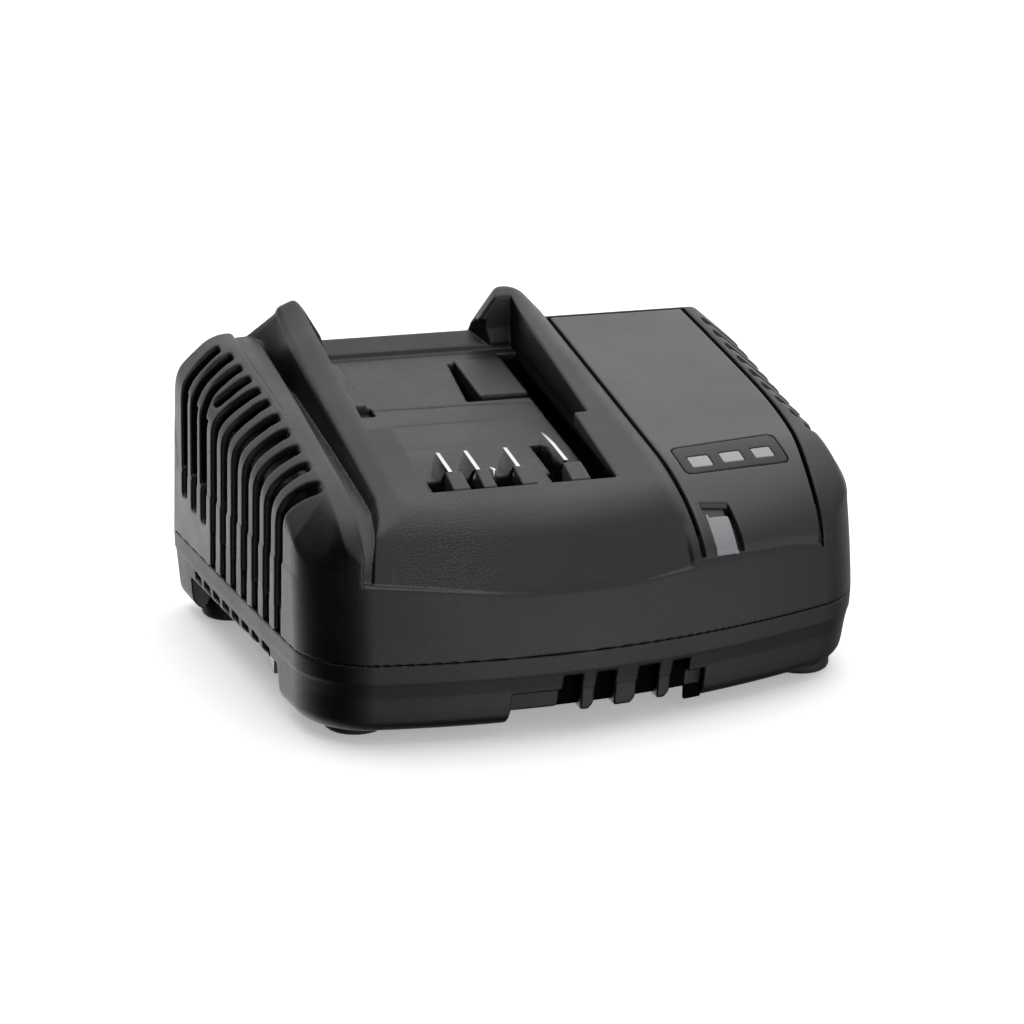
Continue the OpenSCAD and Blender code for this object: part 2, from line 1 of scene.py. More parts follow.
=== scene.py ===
"""Desk charger for slide-on battery packs: the looks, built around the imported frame.

The case shells are solids written as distance functions on a grid, meshed here, so that
every edge is a real rounded moulding edge. All numbers of the shells are in millimetres
from the middle of the footprint; the scene is in metres.
"""
import bpy
import bmesh
import math
import json
import numpy as np
from mathutils import Matrix, Vector


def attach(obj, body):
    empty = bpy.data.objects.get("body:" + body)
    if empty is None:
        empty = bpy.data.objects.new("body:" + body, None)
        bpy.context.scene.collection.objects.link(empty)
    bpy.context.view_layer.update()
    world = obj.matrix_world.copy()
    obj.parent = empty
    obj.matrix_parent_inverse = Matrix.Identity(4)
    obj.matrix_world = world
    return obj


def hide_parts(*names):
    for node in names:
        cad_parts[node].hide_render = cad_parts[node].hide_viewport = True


F = np.float32
CAD_Y = 10.9      # the shells' own depth and height are measured from the nose and the parting line
CAD_Z = 22.0


# ------------------------------------------------------------------ distance functions
def smax(a, b, k):
    h = np.maximum(k - np.abs(a - b), 0) / k
    return np.maximum(a, b) + h * h * (k * 0.25)


def smin(a, b, k):
    return -smax(-a, -b, k)


def rmax(a, b, r):
    """intersection with a circular edge of radius r"""
    u = np.maximum(a + r, 0)
    v = np.maximum(b + r, 0)
    return np.minimum(np.maximum(a, b), -r) + np.sqrt(u * u + v * v)


def spline(xs, ys):
    """natural cubic through the points, straight beyond the ends"""
    xs = np.asarray(xs, float)
    ys = np.asarray(ys, float)
    if xs[0] > xs[-1]:
        xs, ys = xs[::-1], ys[::-1]
    n = len(xs)
    h = np.diff(xs)
    a = np.zeros((n, n))
    r = np.zeros(n)
    a[0, 0] = a[-1, -1] = 1
    for i in range(1, n - 1):
        a[i, i - 1], a[i, i], a[i, i + 1] = h[i - 1], 2 * (h[i - 1] + h[i]), h[i]
        r[i] = 6 * ((ys[i + 1] - ys[i]) / h[i] - (ys[i] - ys[i - 1]) / h[i - 1])
    m = np.linalg.solve(a, r)

    def f(x):
        x = np.asarray(x, float)
        i = np.clip(np.searchsorted(xs, x) - 1, 0, n - 2)
        t0, t1 = xs[i + 1] - x, x - xs[i]
        v = (m[i] * t0 ** 3 + m[i + 1] * t1 ** 3) / (6 * h[i]) + (ys[i] / h[i] - m[i] * h[i] / 6) * t0 + (ys[i + 1] / h[i] - m[i + 1] * h[i] / 6) * t1
        s0 = (ys[1] - ys[0]) / h[0] - h[0] * (2 * m[0] + m[1]) / 6
        s1 = (ys[-1] - ys[-2]) / h[-1] + h[-1] * (m[-2] + 2 * m[-1]) / 6
        v = np.where(x < xs[0], ys[0] + s0 * (x - xs[0]), v)
        v = np.where(x > xs[-1], ys[-1] + s1 * (x - xs[-1]), v)
        return v.astype(F)
    return f


def lin(xs, ys):
    o = np.argsort(xs)
    xs, ys = np.asarray(xs, float)[o], np.asarray(ys, float)[o]
    return lambda x: np.interp(x, xs, ys).astype(F)


def front_y(x):
    return -75 + 7.3 * (x / 80) + 16.4 * (x / 80) ** 2 - 0.6 * (x / 80) ** 4


def front_slope(x):
    return (7.3 + 32.8 * (x / 80) - 2.4 * (x / 80) ** 3) / 80


def side_x(y):
    return 80 + 0.0734 * y


def panel_z(x, y):
    """top of the right block: a plane that rolls over into the front wall"""
    yw = front_y(x) + 2.0
    yb = -33.2 + 0.105 * (x - 28)
    plane = 44.1 + 0.1865 * (y - 7.7)
    s = np.clip((y - yw) / (yb - yw), 0.0, 1.0)
    d = (44.1 + 0.1865 * (yw - 7.7)) - 15.0
    over = np.maximum(yw - y, 0.0)
    return plane - d * (1 - np.sqrt(np.maximum(0, 1 - (1 - s) ** 2))) - over * 6.0


groove_r_x = spline([60, 50, 18, -10, -30, -42, -55, -60, -64], [63.6, 64.0, 65.0, 65.2, 63.4, 61.4, 59.9, 59.7, 59.7])
# the strip beside the grille: it falls away and rolls over into the front wall
strip_z = spline([56, 50, 20, -9.5, -29.4, -48.5, -57.8, -63.2, -66.0, -67.8, -69.0], [52.5, 51.8, 48.5, 44.9, 41.5, 37.7, 34.4, 31.0, 27.4, 23.6, 19.4])
ridge_x = lin([56, 47, 20, -10, -33, -53, -62.5, -68.5, -72], [-58.6, -58.9, -59.9, -61.0, -61.4, -61.4, -61.8, -61.6, -61.4])
# where the grille's slope meets the wall: height, and place in plan round the front corner
bend_z = lin([60, 50, 39.5, 30.5, 21.5, 12.6, 3.6, -5.4, -14.4, -23.4, -32.3, -38, -44.5, -52, -56.5, -61.8, -65.5, -67.5, -70],
             [44.0, 43.0, 42.2, 41.0, 39.9, 38.6, 37.4, 36.4, 35.2, 33.8, 32.2, 31.6, 30.5, 27.0, 24.2, 22.2, 21.0, 19.9, 19.4])
bend_x = lin([60, -44.5, -52, -56.5, -61.8, -64.0, -65.5, -70], [-83.6, -76.1, -75.5, -74.2, -71.4, -69.3, -67.7, -67.0])


# right shoulder: where its slope starts, and how steep it is
shoulder_x = lin([60, 0, -10, -22, -30, -45, -60], [67.6, 67.7, 68.2, 69.0, 69.5, 70.0, 70.0])
shoulder_s = lin([60, -8, -18, -26, -32, -42, -52, -60], [0.85, 0.85, 1.0, 1.35, 1.45, 1.6, 1.8, 1.9])


def rail_z(y):
    return 43.5 + 0.25 * (y + 16)


def floor_z(y):
    return 40 + 0.158 * (y - 10.9)


class Grid:
    def __init__(self, lo, hi, h):
        self.lo = np.asarray(lo, float)
        self.h = h
        self.n = np.ceil((np.asarray(hi) - self.lo) / h).astype(int) + 1
        self.x = (self.lo[0] + h * np.arange(self.n[0])).astype(F)[:, None, None]
        self.y = (self.lo[1] + h * np.arange(self.n[1])).astype(F)[None, :, None]
        self.z = (self.lo[2] + h * np.arange(self.n[2])).astype(F)[None, None, :]
        self.d = None

    def part(self, lo, hi):
        """the sub-box of the grid, as slices and its own coordinates"""
        i = [slice(int(max(0, math.floor((lo[k] - self.lo[k]) / self.h))), int(min(self.n[k], math.ceil((hi[k] - self.lo[k]) / self.h) + 1))) for k in range(3)]
        return tuple(i), self.x[i[0]], self.y[:, i[1]], self.z[:, :, i[2]]

    def cut(self, lo, hi, f, k=0.8):
        """takes the solid f(x, y, z) away, within a box, with rounded edges"""
        i, x, y, z = self.part(lo, hi)
        self.d[i] = smax(self.d[i], -f(x, y, z), k)

    def add(self, lo, hi, f, k=0.8):
        i, x, y, z = self.part(lo, hi)
        self.d[i] = smin(self.d[i], f(x, y, z), k)


def box_d(x, y, z, lo, hi, r=0.0):
    c = [(lo[k] + hi[k]) / 2 for k in range(3)]
    e = [(hi[k] - lo[k]) / 2 - r for k in range(3)]
    qx, qy, qz = np.abs(x - c[0]) - e[0], np.abs(y - c[1]) - e[1], np.abs(z - c[2]) - e[2]
    out = np.sqrt(np.maximum(qx, 0) ** 2 + np.maximum(qy, 0) ** 2 + np.maximum(qz, 0) ** 2)
    return out + np.minimum(np.maximum(np.maximum(qx, qy), qz), 0) - r


# ------------------------------------------------------------------ the case's plan
def walls(g, off=0.0, low=False):
    """inside the four walls, moved inwards by off"""
    x, y, z = g.x, g.y, g.z
    zz = np.abs(z)
    if low:
        # below the parting line: a lighter band, then the walls turn in
        tuck = np.maximum(0, -z - 4.6)
        drl = 0.02 * zz + 0.16 * tuck
        drr = 0.03 * zz + 0.16 * tuck
        drf = 0.03 * zz + 0.20 * tuck
        drb = 0.03 * zz + 0.10 * tuck
    else:
        drl = 0.0206 * zz
        drr = 0.0358 * zz
        drf = 0.05 * zz + 0.0045 * zz * zz
        drf = np.minimum(drf, 0.05 * zz + 2.2)
        drb = 0.03 * zz
    bow = 0.45 * (1 - ((y + 10) / 62) ** 2)
    l = (-x - side_x(y) - bow + 0.08 + drl) * 0.9973 + off
    r = (x - side_x(y) + 1.6 + drr) * 0.9973 + off
    fs = front_slope(np.clip(x, -80, 80))
    f = (front_y(x) - y + drf) / np.sqrt(1 + fs * fs) + off
    b = y - 54.0 + drb + off
    rr = max(13.0 - off, 3.0)
    d = rmax(l.astype(F), f.astype(F), max(14.0 - off, 3.0))
    d = rmax(d, r.astype(F), rr)
    d = rmax(d, b.astype(F), max(4.5 - off * 0.5, 2.0))
    return d.astype(F)


def upper_form(g, off=0.0):
    """outer form of the upper shell without its openings, moved inwards by off"""
    x, y, z = g.x, g.y, g.z
    w = walls(g, off)
    zt = z + off          # roofs come down by off (their slopes are gentle)
    # left flank: the grille's slope up to a step at the seam, then a strip up to the ridge
    st = strip_z(y)
    gt = st + 1.5
    bzy = bend_z(y)
    bx = bend_x(y)
    xt = lin([56, 41.6, 37, 27, 0, -48, -62], [-71.8, -71.4, -70.0, -69.0, -67.9, -67.2, -66.6])(y)
    sl = (gt - bzy) / (xt - bx)
    slope = (zt - bzy - sl * (x - bx)) / np.sqrt(1 + sl * sl)
    ins = smax(slope, (zt - gt) * 0.97, 3.0)
    ins = smax(ins, (x + 65.75) * 0.98, 1.2)
    # the bars run over the bend in a wide curve, which sharpens to an edge at the front end
    soft = np.clip((y + 52) / 14, 0.04, 1).astype(F) * 3.2
    ins = smax(ins.astype(F), ((-x - side_x(y) + 0.0206 * zt - 0.3) + off + 0 * z).astype(F), soft)
    strip = (zt - st - 0.28 * np.clip(1 - np.abs(x + 63) / 3.5, 0, 1)) * 0.96
    strip = smax(strip, (x - ridge_x(y) + 0.15 * (st - zt)) * 0.99, 0.9)
    strip = np.maximum(strip, -66.9 - x)
    flank = np.minimum(ins, strip)
    # dock block with rails, nose and fins
    t = y - front_y(x)
    topz = rail_z(y)
    # fins stand a little over the rails at the back
    topz = topz + 1.5 * np.clip((y - 38) / 12.0, 0, 1) ** 2
    dock = (zt - topz) * 0.97
    nose = (zt - 16.2 - 1.30 * (t - 2.6 - off * 0.35)) / math.sqrt(1 + 1.30 ** 2)
    dock = smax(dock, nose, 4.5)
    wx = lin([56, -46, -54, -58, -62, -66, -70], [54.4, 54.4, 55.6, 56.8, 58.4, 59.8, 60.6])(y)
    flare = np.clip((y - 26) / 26.0, 0, 1.1) ** 2
    left = (-x - wx + off - 1.35 * flare * np.maximum(0, topz - 4.0 - zt) + 0.42 * np.maximum(0, zt - topz + 4.0)) * 0.92
    # the outer face of the rail leans a little
    dock = smax(dock, left, 0.7)
    dock = smax(dock, (zt - topz + 0.42 * np.maximum(0, -x - 48.6)) * 0.9, 0.7)
    right = ((x - 21.9) + (zt - panel_z(np.full_like(x, 23.0), y) - 1.4) * 0.95) / 1.38
    dock = smax(dock, right, 2.6)
    dock = np.maximum(dock, x - 21.9 + off)
    # right block
    pz = panel_z(x, y)
    pan = (zt - pz) * 0.93
    # shoulder: rolls off beyond the groove
    x0, sp = shoulder_x(y), shoulder_s(y)
    sh = (zt - (pz - sp * (x - x0))) / np.sqrt(1 + sp * sp)
    pan = smax(pan, sh.astype(F), 0.9)
    pan = smax(pan, 20.4 - x, 2.2)
    # front band, under all of it
    band_top = lin([-84, -64.5, -49.5, -30, -15, 5, 22, 36, 50, 60, 84], [19.4, 19.6, 18.4, 16.4, 15.6, 15.8, 17.2, 17.6, 17.0, 15.8, 15.0])(x)
    band = (zt - band_top + 0.3)
    body = smin(pan, dock, 0.9)
    body = np.minimum(body, band)
    return w, flank, body, st


def upper_shell(h):
    # a layer of the grid lies just over the parting plane, which keeps the rim crisp
    g = Grid((-85.5, -77.5, 0.09 - 2 * h), (85.5, 56.0, 63.5), h)
    x, y, z = g.x, g.y, g.z
    w, flank, body, ridge = upper_form(g)
    # valley between the flank's ridge and the rail
    depth = lin([54, 46, 40, 0, -46, -50, -54, -58, -62, -65, -67.5, -70, -72], [1.5, 5.0, 8.0, 8.8, 8.3, 8.6, 9.0, 9.3, 9.4, 9.6, 9.2, 7.0, 3.0])(y)
    gap = np.maximum(z - (ridge - depth), np.maximum(x + 52, -63.5 - x))
    roof = np.minimum(np.minimum(body, flank), gap)
    out = smax(w, roof.astype(F), 1.0)
    out = np.maximum(out, -(z - 0.07)).astype(F)
    # inner cavity
    wi, fi, bi, _ = upper_form(g, 2.4)
    inner = np.maximum(wi, np.minimum(np.minimum(bi, np.maximum(fi, x + 62.5)), np.maximum(z - (ridge - depth) + 2.4, np.maximum(x + 50, -63.2 - x))))
    solid_dock = np.maximum(np.maximum(-49.5 - x, x - 14), np.maximum(floor_z(y) - 2.4 - z, -50.9 - y))
    inner = np.maximum(inner, -solid_dock)
    fins = np.maximum(np.maximum(-60 - x, x - 22), rail_z(y) - 9.0 - z)
    inner = np.maximum(inner, -fins)
    # solid behind the front wall and the left front corner
    inner = np.maximum(inner, np.maximum(9.0 - (y - front_y(x)), -np.maximum(x + 60, y + 42)))
    inner = np.maximum(inner, -np.maximum(64 - x, y + 30))
    g.d = smax(out, -inner.astype(F), 0.6).astype(F)
    cut_dock(g)
    cut_left_grille(g)
    cut_right_grille(g)
    cut_panel(g)
    cut_back(g)
    return g


def cut_dock(g):
    fy = -48.5
    # the open space over the floor
    def wide(x, y, z):
        lean = 0.36 * np.clip(z - floor_z(y), 0, 5.2)
        d = np.maximum(np.maximum(-47 - x, x - 11.5), np.maximum(-16 - y, y - 45.2 - lean))
        return np.maximum(d, floor_z(y) - z)
    g.cut((-50, -18, 28), (14, 48, 66), wide, 0.7)

    def narrow(x, y, z):
        d = smax(-40.6 - x, x - 7.8, 0.1)
        d = np.maximum(d, np.maximum(fy - y, y - 0))
        return np.maximum(d, floor_z(y) - z)
    g.cut((-44, -52, 24), (11, 2, 66), narrow, 0.7)

    def under(x, y, z):
        top = floor_z(y) + np.clip(3.6 + (y + 16) * 0.037, 2.2, 3.6)
        d = np.maximum(np.maximum(-47 - x, x - 11.5), np.maximum(fy - y, y + 14))
        return np.maximum(d, np.maximum(floor_z(y) - z, z - top))
    g.cut((-50, -52, 24), (14, -12, 60), under, 0.5)
    # over the back lip
    def back(x, y, z):
        flare = np.clip((z - 50.6) / 9.0, 0, 1.2)
        x0 = -41.6 - 5.4 * flare
        x1 = 0.2 + 0.72 * (z - 50.6)
        d = np.maximum(np.maximum(x0 - x, x - x1), 43.5 - y)
        return np.maximum(d, 50.5 - z)
    g.cut((-50, 40, 47), (16, 60, 66), back, 1.4)
    # the lip is a ramp that falls towards the dock, bevelled at its right end
    def ramp(x, y, z):
        d = np.maximum(np.maximum(-42.0 - x, x - 0.2 - 0.7 * (52.9 - y)), 44.8 - y)
        return np.maximum(d, (46.0 + (y - 45.2) / 1.75 - z) * 0.87)
    g.cut((-44, 43, 44), (8, 56, 53), ramp, 0.7)

    # the lip's foot is undercut
    def foot(x, y, z):
        d = np.maximum(np.maximum(-46.5 - x, x - 11), np.maximum(44 - y, y - 45.9))
        return np.maximum(d, np.maximum(floor_z(y) - z, z - floor_z(y) - 1.0))
    g.cut((-50, 42, 40), (14, 50, 52), foot, 0.8)
    # deep channel under the right rail
    def channel(x, y, z):
        d = np.maximum(np.maximum(5.8 - x, x - 11.5), np.maximum(-48.3 - y, y - 42.0))
        return np.maximum(d, np.maximum(floor_z(y) - 7.5 - z, z - floor_z(y) - 2))
    g.cut((3, -51, 20), (14, 46, 52), channel, 0.5)
    # openings in the floor at the blades
    for a, b, back in ((-36.5, -12.1, -33.4), (-5.4, 7.0, -34.0), (-4.2, -0.4, -17.2)):
        def slot(x, y, z, a=a, b=b, back=back):
            d = np.maximum(np.maximum(a - x, x - b), np.maximum(-48.45 - y, y - back))
            return np.maximum(d, 14 - z)
        g.cut((a - 2, -50.5, 14), (b + 2, back + 2, 36.5), slot, 0.3)
    # raised pad on the right, with a gap on its left and front
    def gapbox(x, y, z):
        d = np.maximum(np.maximum(-11.8 - x + 0.09 * (y - 12), x - 6.0), np.maximum(12.4 - y, y - 37.5))
        return np.maximum(d, np.maximum(floor_z(y) - 2.2 - z, z - floor_z(y) - 3))
    g.cut((-14, 8, 34), (8, 45, 52), gapbox, 0.5)

    def pad(x, y, z):
        d = np.maximum(np.maximum(-7.8 - x, x - 5.8), np.maximum(14.0 - y, y - 38.6))
        return smax(d, np.maximum(z - floor_z(y) - 0.7, floor_z(y) - 4.5 - z), 0.7)
    g.add((-10, 10, 34), (8, 44, 52), pad, 0.2)
    # guide on the left, a low step with a notch at its front end
    def guide(x, y, z):
        d = np.maximum(np.maximum(-46.9 - x, x + 39.4), np.maximum(8.5 - y, y - 41.0))
        return np.maximum(d, np.maximum(z - floor_z(y) - 0.9, floor_z(y) - 2 - z))
    g.add((-49, 6, 34), (-36, 44, 52), guide, 0.4)

    def notch(x, y, z):
        d = np.maximum(np.maximum(-44.4 - x, x + 38.4), np.maximum(7.6 - y, y - 12.4))
        return np.maximum(d, np.maximum(floor_z(y) - 2.0 - z, z - floor_z(y) - 3))
    g.cut((-44, 5, 34), (-36, 14, 50), notch, 0.4)
    # fine step across the floor
    def stepcut(x, y, z):
        return np.maximum(np.maximum(-40.4 - x, x - 5.4), np.maximum(np.abs(y - 9.6 + 0.03 * x) - 0.32, np.abs(z - floor_z(y)) - 0.35))
    g.cut((-42, 6, 34), (8, 14, 46), stepcut, 0.2)


SLOT_Y = [39.5 - 8.98 * k for k in range(10)]
SLOT_BOTTOM = [12.1, 10.6, 10.0, 9.5, 8.6, 7.7, 7.2, 6.9, 6.5, 6.5]


def cut_left_grille(g):
    hw = 2.3
    for k in range(10):
        yc = SLOT_Y[k]
        xb = -(float(side_x(yc)) - 0.6)
        bz = float(bend_z(yc))
        zb = SLOT_BOTTOM[k]

        def up(x, y, z):
            d = np.abs(y - yc) - hw
            d = smax(d, zb - z, 1.6)
            d = np.maximum(d, np.maximum(z - (bz - 1.5), x - xb - 3.4))
            return d + 0 * x
        g.cut((-86, yc - 4, zb - 3), (xb + 5, yc + 4, bz + 5), up, 0.7)

        # shallow groove that goes on down to the parting line
        if k >= 3:
            def shallow(x, y, z):
                d = np.abs(y - yc) - hw * 0.92
                d = np.maximum(d, np.maximum(z - zb - 1, -1 - z))
                return np.maximum(d, x - (-(side_x(y)) + 0.85)) + 0 * z
            g.cut((-86, yc - 4, -1), (xb + 4, yc + 4, zb + 2), shallow, 0.4)
    # arms over the slope: eleven, the fourth on its own
    for k in range(11):
        ya, ym, yb = ARM[k]
        xe = float(lin([56, 43, 36.4, 27, 0, -48, -62], [-71.8, -71.2, -69.4, -68.8, -67.7, -67.1, -66.8])(yb))
        x0 = float(bend_x(ya))
        run = lin([x0 - 0.8, x0 + 4.0, xe], [ya, ym, yb]) if k != 3 else lin([x0, xe], [21.6, yb])

        def arm(x, y, z, k=k, xe=xe, run=run):
            middle = sum(run(x + 0.8 * i) for i in (-2, -1, 0, 1, 2)) / 5
            d = (np.abs(y - middle) - hw) * 0.94
            d = smax(d.astype(F), (x - xe).astype(F), 1.6)
            if k == 3:
                d = smax(d, (-77.9 - x).astype(F), 1.8)
            return np.maximum(d, 20 - z)
        g.cut((-86, min(ya, yb) - 6, 14), (-58, max(ya, ym, yb) + 6, 60), arm, 0.7)


# depth of each arm at the bend, a little further up and at its upper end; the fourth stands on its own
ARM = [(39.5, 42.7, 43.4), (30.5, 35.7, 36.4), (21.5, 28.4, 27.9), (21.4, 21.2, 19.2), (12.6, 13.5, 10.3), (3.6, 4.6, 1.6), (-5.4, -4.6, -8.2), (-14.4, -13.8, -17.6), (-23.4, -23.0, -27.4), (-32.3, -32.4, -37.2), (-41.3, -42.0, -47.8)]


def cut_right_grille(g):
    for k in range(9):
        yc = 42.1 - 8.7 * k

        def arm(x, y, z, yc=yc):
            d = (np.abs(y - yc - 0.25 * (x - 67.6)) - 2.2) * 0.97
            d = smax(d, shoulder_x(y) - 0.8 - x, 0.8)
            return np.maximum(d, 20 - z)
        g.cut((62, yc - 5, 20), (86, yc + 9, 60), arm, 0.6)
        zb = 11.5 - 0.5 * k

        def down(x, y, z, yc=yc, zb=zb):
            d = np.abs(y - yc - 3.3) - 2.2
            d = smax(d, zb - z, 1.6)
            return np.maximum(d, np.maximum(z - 34, side_x(y) - 6.4 - x))
        g.cut((70, yc - 2, zb - 3), (86, yc + 8, 37), down, 0.6)


PANEL_FOOT = lin([22, 24, 36, 50, 60, 68], [18.3, 18.3, 18.2, 17.6, 15.9, 15.3])


def panel_d(x, y, z):
    """signed distance over the panel's face"""
    n = np.sqrt(1 + (panel_z(x, y + 0.4) - panel_z(x, y - 0.4)) ** 2 / 0.64)
    return (z - panel_z(x, y)) / n


def cut_panel(g):
    # the panel's bed: the two grooves are what is left open beside the panel
    def bed(x, y, z):
        gx = groove_r_x(y)
        d = np.maximum(np.maximum(23.2 - x, x - gx - 0.45), np.maximum(y - 51.5, -(y - front_y(x)) + 1.2))
        d = np.maximum(d, PANEL_FOOT(x) - z)
        return np.maximum(d, -panel_d(x, y, z) - 2.0)
    g.cut((20, -74, 10), (70, 55, 58), bed, 0.35)
    # the right groove runs on a little further down

    def tail(x, y, z):
        d = np.maximum(np.abs(x - 59.95) - 0.28, np.maximum(z - 19, 14.6 - z))
        return np.maximum(d, (y - front_y(x)) - 3.6)
    g.cut((57, -66, 13), (63, -52, 20), tail, 0.3)


def cut_back(g):
    # opening for the mains inlet
    def o(x, y, z):
        return box_d(x, y, z, (31.6, 45, -9), (52.4, 60, 3.6), 2.0)
    g.cut((28, 44, -2), (56, 58, 7), o, 0.6)


BLADE_X = [-33.0, -25.8, -15.4, -1.0]


def wedges(h):
    """plastic wedges in front of the terminal blades"""
    g = Grid((-37, -49.2, 12.5), (5.5, -39.5, 39), h)
    x, y, z = g.x, g.y, g.z
    d = np.full((g.n[0], g.n[1], g.n[2]), 99, F)
    top = np.minimum(37.5, 35.1 + 2.4 * (y + 48.5) / 7.0)
    for b, w0, w1 in ((-33.0, 1.3, 3.3), (-25.8, 0.7, 2.9), (-15.4, 1.2, 3.0), (-1.0, 2.8, 2.4)):
        s = np.maximum(z - 34, 0)
        q = np.maximum(np.maximum(b - w0 - x, x - b - w1 + 0.12 * s), np.maximum(-48.47 - y, y + 41.0))
        q = smax(q, np.maximum(z - top, 13.0 - z), 0.5)
        d = np.minimum(d, q)
    g.d = d.astype(F)
    return g


FRONT_IN = lin([0, -4.7, -5.3, -9, -13, -16, -19.4, -22], [0, 0.25, 0.55, 1.9, 2.7, 3.5, 5.0, 6.5])


def lower_form(g, off=0.0):
    x, y, z = g.x, g.y, g.z
    tuck = np.maximum(0, -z - 5.0)
    bow = 0.45 * (1 - ((y + 10) / 62) ** 2)
    step = 0.22 * np.clip((-z - 4.7) / 0.6, 0, 1)
    l = (-x - side_x(y) - bow + 0.08 + 0.02 * -z + 0.05 * tuck + step) * 0.998 + off
    r = (x - side_x(y) + 1.6 + 0.03 * -z + 0.05 * tuck + step) * 0.998 + off
    fs = front_slope(np.clip(x, -80, 80))
    f = (front_y(x) - y + FRONT_IN(z)) / np.sqrt(1 + fs * fs) + off
    b = y - 54.0 + 0.03 * -z + 0.06 * tuck + step + off
    d = rmax(l.astype(F), f.astype(F), max(14.0 - off, 3.0))
    d = rmax(d, r.astype(F), max(13.0 - off, 3.0))
    d = rmax(d, b.astype(F), max(4.5 - off * 0.5, 2.0))
    bottom = (-19.4 + off - z)
    return rmax(d, bottom.astype(F) + 0 * d, max(4.6 - off, 1.5)).astype(F)


def lower_shell(h):
    g = Grid((-85.5, -77.5, -0.09 - math.ceil(20.6 / h) * h), (85.5, 56.0, 0.9), h)
    x, y, z = g.x, g.y, g.z
    out = np.maximum(lower_form(g), z + 0.07)
    inner = np.maximum(lower_form(g, 2.4), z - 20)
    # what stands inside: the recessed front, the sides behind the notches, and the feet's seats
    keep = np.maximum(np.maximum(-30 - x, x - 27), np.maximum(y + 62.0, z + 7.0))
    keep = np.minimum(keep, np.maximum(np.maximum(-30 - x, x - 27), np.maximum(y + 23.0, z + 13.2)))
    for sgn in (-1, 1):
        keep = np.minimum(keep, np.maximum(np.maximum(62.5 - sgn * x, z + 6.0), np.abs(y + 1) - 40))
    for (cx, cy) in ((-60.5, -51.5), (61, -43.5), (-70.5, 40), (70.5, 40)):
        keep = np.minimum(keep, np.maximum(np.sqrt((x - cx) ** 2 + (y - cy) ** 2) - 9.8, z + 15.2))
    inner = np.maximum(inner, -keep)
    g.d = smax(out, -inner.astype(F), 0.5).astype(F)
    # long notches low on both sides, with a row of small slots over them
    for sgn in (-1, 1):
        def notch(x, y, z, sgn=sgn):
            q = np.maximum(np.abs(y + 1.0) - 37.4, 66.0 - sgn * x)
            return smax(q, z + 9.2 + 0.012 * y, 0.8)
        lo, hi = ((-90, -41, -21), (-64, 39, -7)) if sgn < 0 else ((64, -41, -21), (90, 39, -7))
        g.cut(lo, hi, notch, 0.35)
        for k in range(8):
            yc = 28.6 - 8.45 * k

            def sl(x, y, z, yc=yc, sgn=sgn):
                u = (y - yc)
                q = np.abs(u) - 2.7
                q = smax(q, np.abs(z + 7.5 - 0.10 * u) - 0.95, 0.7)
                return np.maximum(q, 60 - sgn * x)
            lo, hi = ((-90, yc - 4.5, -10.5), (-60, yc + 4.5, -5)) if sgn < 0 else ((60, yc - 4.5, -10.5), (90, yc + 4.5, -5))
            g.cut(lo, hi, sl, 0.5)

    # cut-out low on the front: recessed wall, four air slots
    def recess(x, y, z):
        t = y - front_y(x)
        q = np.maximum(np.maximum(-27.0 - x, x - 24.4), z + 10.2)
        return smax(q, t - 4.4 - 0.25 * (-z - 10), 0.6)
    g.cut((-29, -77, -21), (27, -50, -8), recess, 0.8)

    def under(x, y, z):
        t = y - front_y(x)
        q = np.maximum(np.maximum(-27.0 - x, x - 24.4), z + 15.6)
        return np.maximum(q + 0 * t, y + 26)
    g.cut((-29, -77, -21), (27, -24, -14), under, 0.8)
    # vanes between the slots stand out to the front
    for a, b in ((-9.6, -5.6), (-0.7, 5.6), (11.1, 15.0)):
        def vane(x, y, z, a=a, b=b):
            t = y - front_y(x)
            q = np.maximum(a - x, x - b)
            q = smax(q, np.maximum(2.3 + 0.14 * (-z - 10) - t, t - 13), 0.8)
            zb = -16.4 + 1.0 * np.maximum(0, x - b + 1.6)
            return smax(q, np.maximum(zb - z, z + 5), 1.2)
        g.add((a - 2, -77, -18.5), (b + 2, -55, -4), vane, 0.3)
    for a, b in ((-14.3, -9.6), (-5.6, -0.7), (5.6, 11.1), (15.0, 19.6)):
        def slit(x, y, z, a=a, b=b):
            t = y - front_y(x)
            q = smax(a - x, x - b, 0.1)
            q = np.maximum(q, np.maximum(z + 6.2, -21 - z))
            return np.maximum(q, t - 20)
        g.cut((a - 2, -79, -21), (b + 2, -46, -4), slit, 0.7)
    # seats of the feet, screw holes, air slots in the underside
    for (cx, cy) in ((-60.5, -51.5), (61, -43.5), (-70.5, 40), (70.5, 40)):
        def seat(x, y, z, cx=cx, cy=cy):
            return np.maximum(np.sqrt((x - cx) ** 2 + (y - cy) ** 2) - 8.15, z + 17.8)
        g.cut((cx - 11, cy - 11, -21), (cx + 11, cy + 11, -15), seat, 0.5)
    for (cx, cy) in ((-57, -34.9), (62, -22.9), (-56, 45.1), (60, 46.1)):
        def hole(x, y, z, cx=cx, cy=cy):
            return np.maximum(np.sqrt((x - cx) ** 2 + (y - cy) ** 2) - 3.3, z + 13.4)
        g.cut((cx - 5, cy - 5, -21), (cx + 5, cy + 5, -11), hole, 0.6)
    for k in range(7):
        def vent(x, y, z, k=k):
            q = np.maximum(np.abs(x + 27.5 - 12 * k) - 2.4, np.abs(y + 9) - 21.5)
            return smax(q, z + 12, 0.1)
        g.cut((-32 + 12 * k, -33, -21), (-22 + 12 * k, 15, -12), vent, 0.8)

    def inlet(x, y, z):
        return box_d(x, y, z, (29.6, 44, -12.4), (54.4, 60, 8), 1.0)
    g.cut((27, 43, -15), (57, 58, 1), inlet, 0.5)
    return g


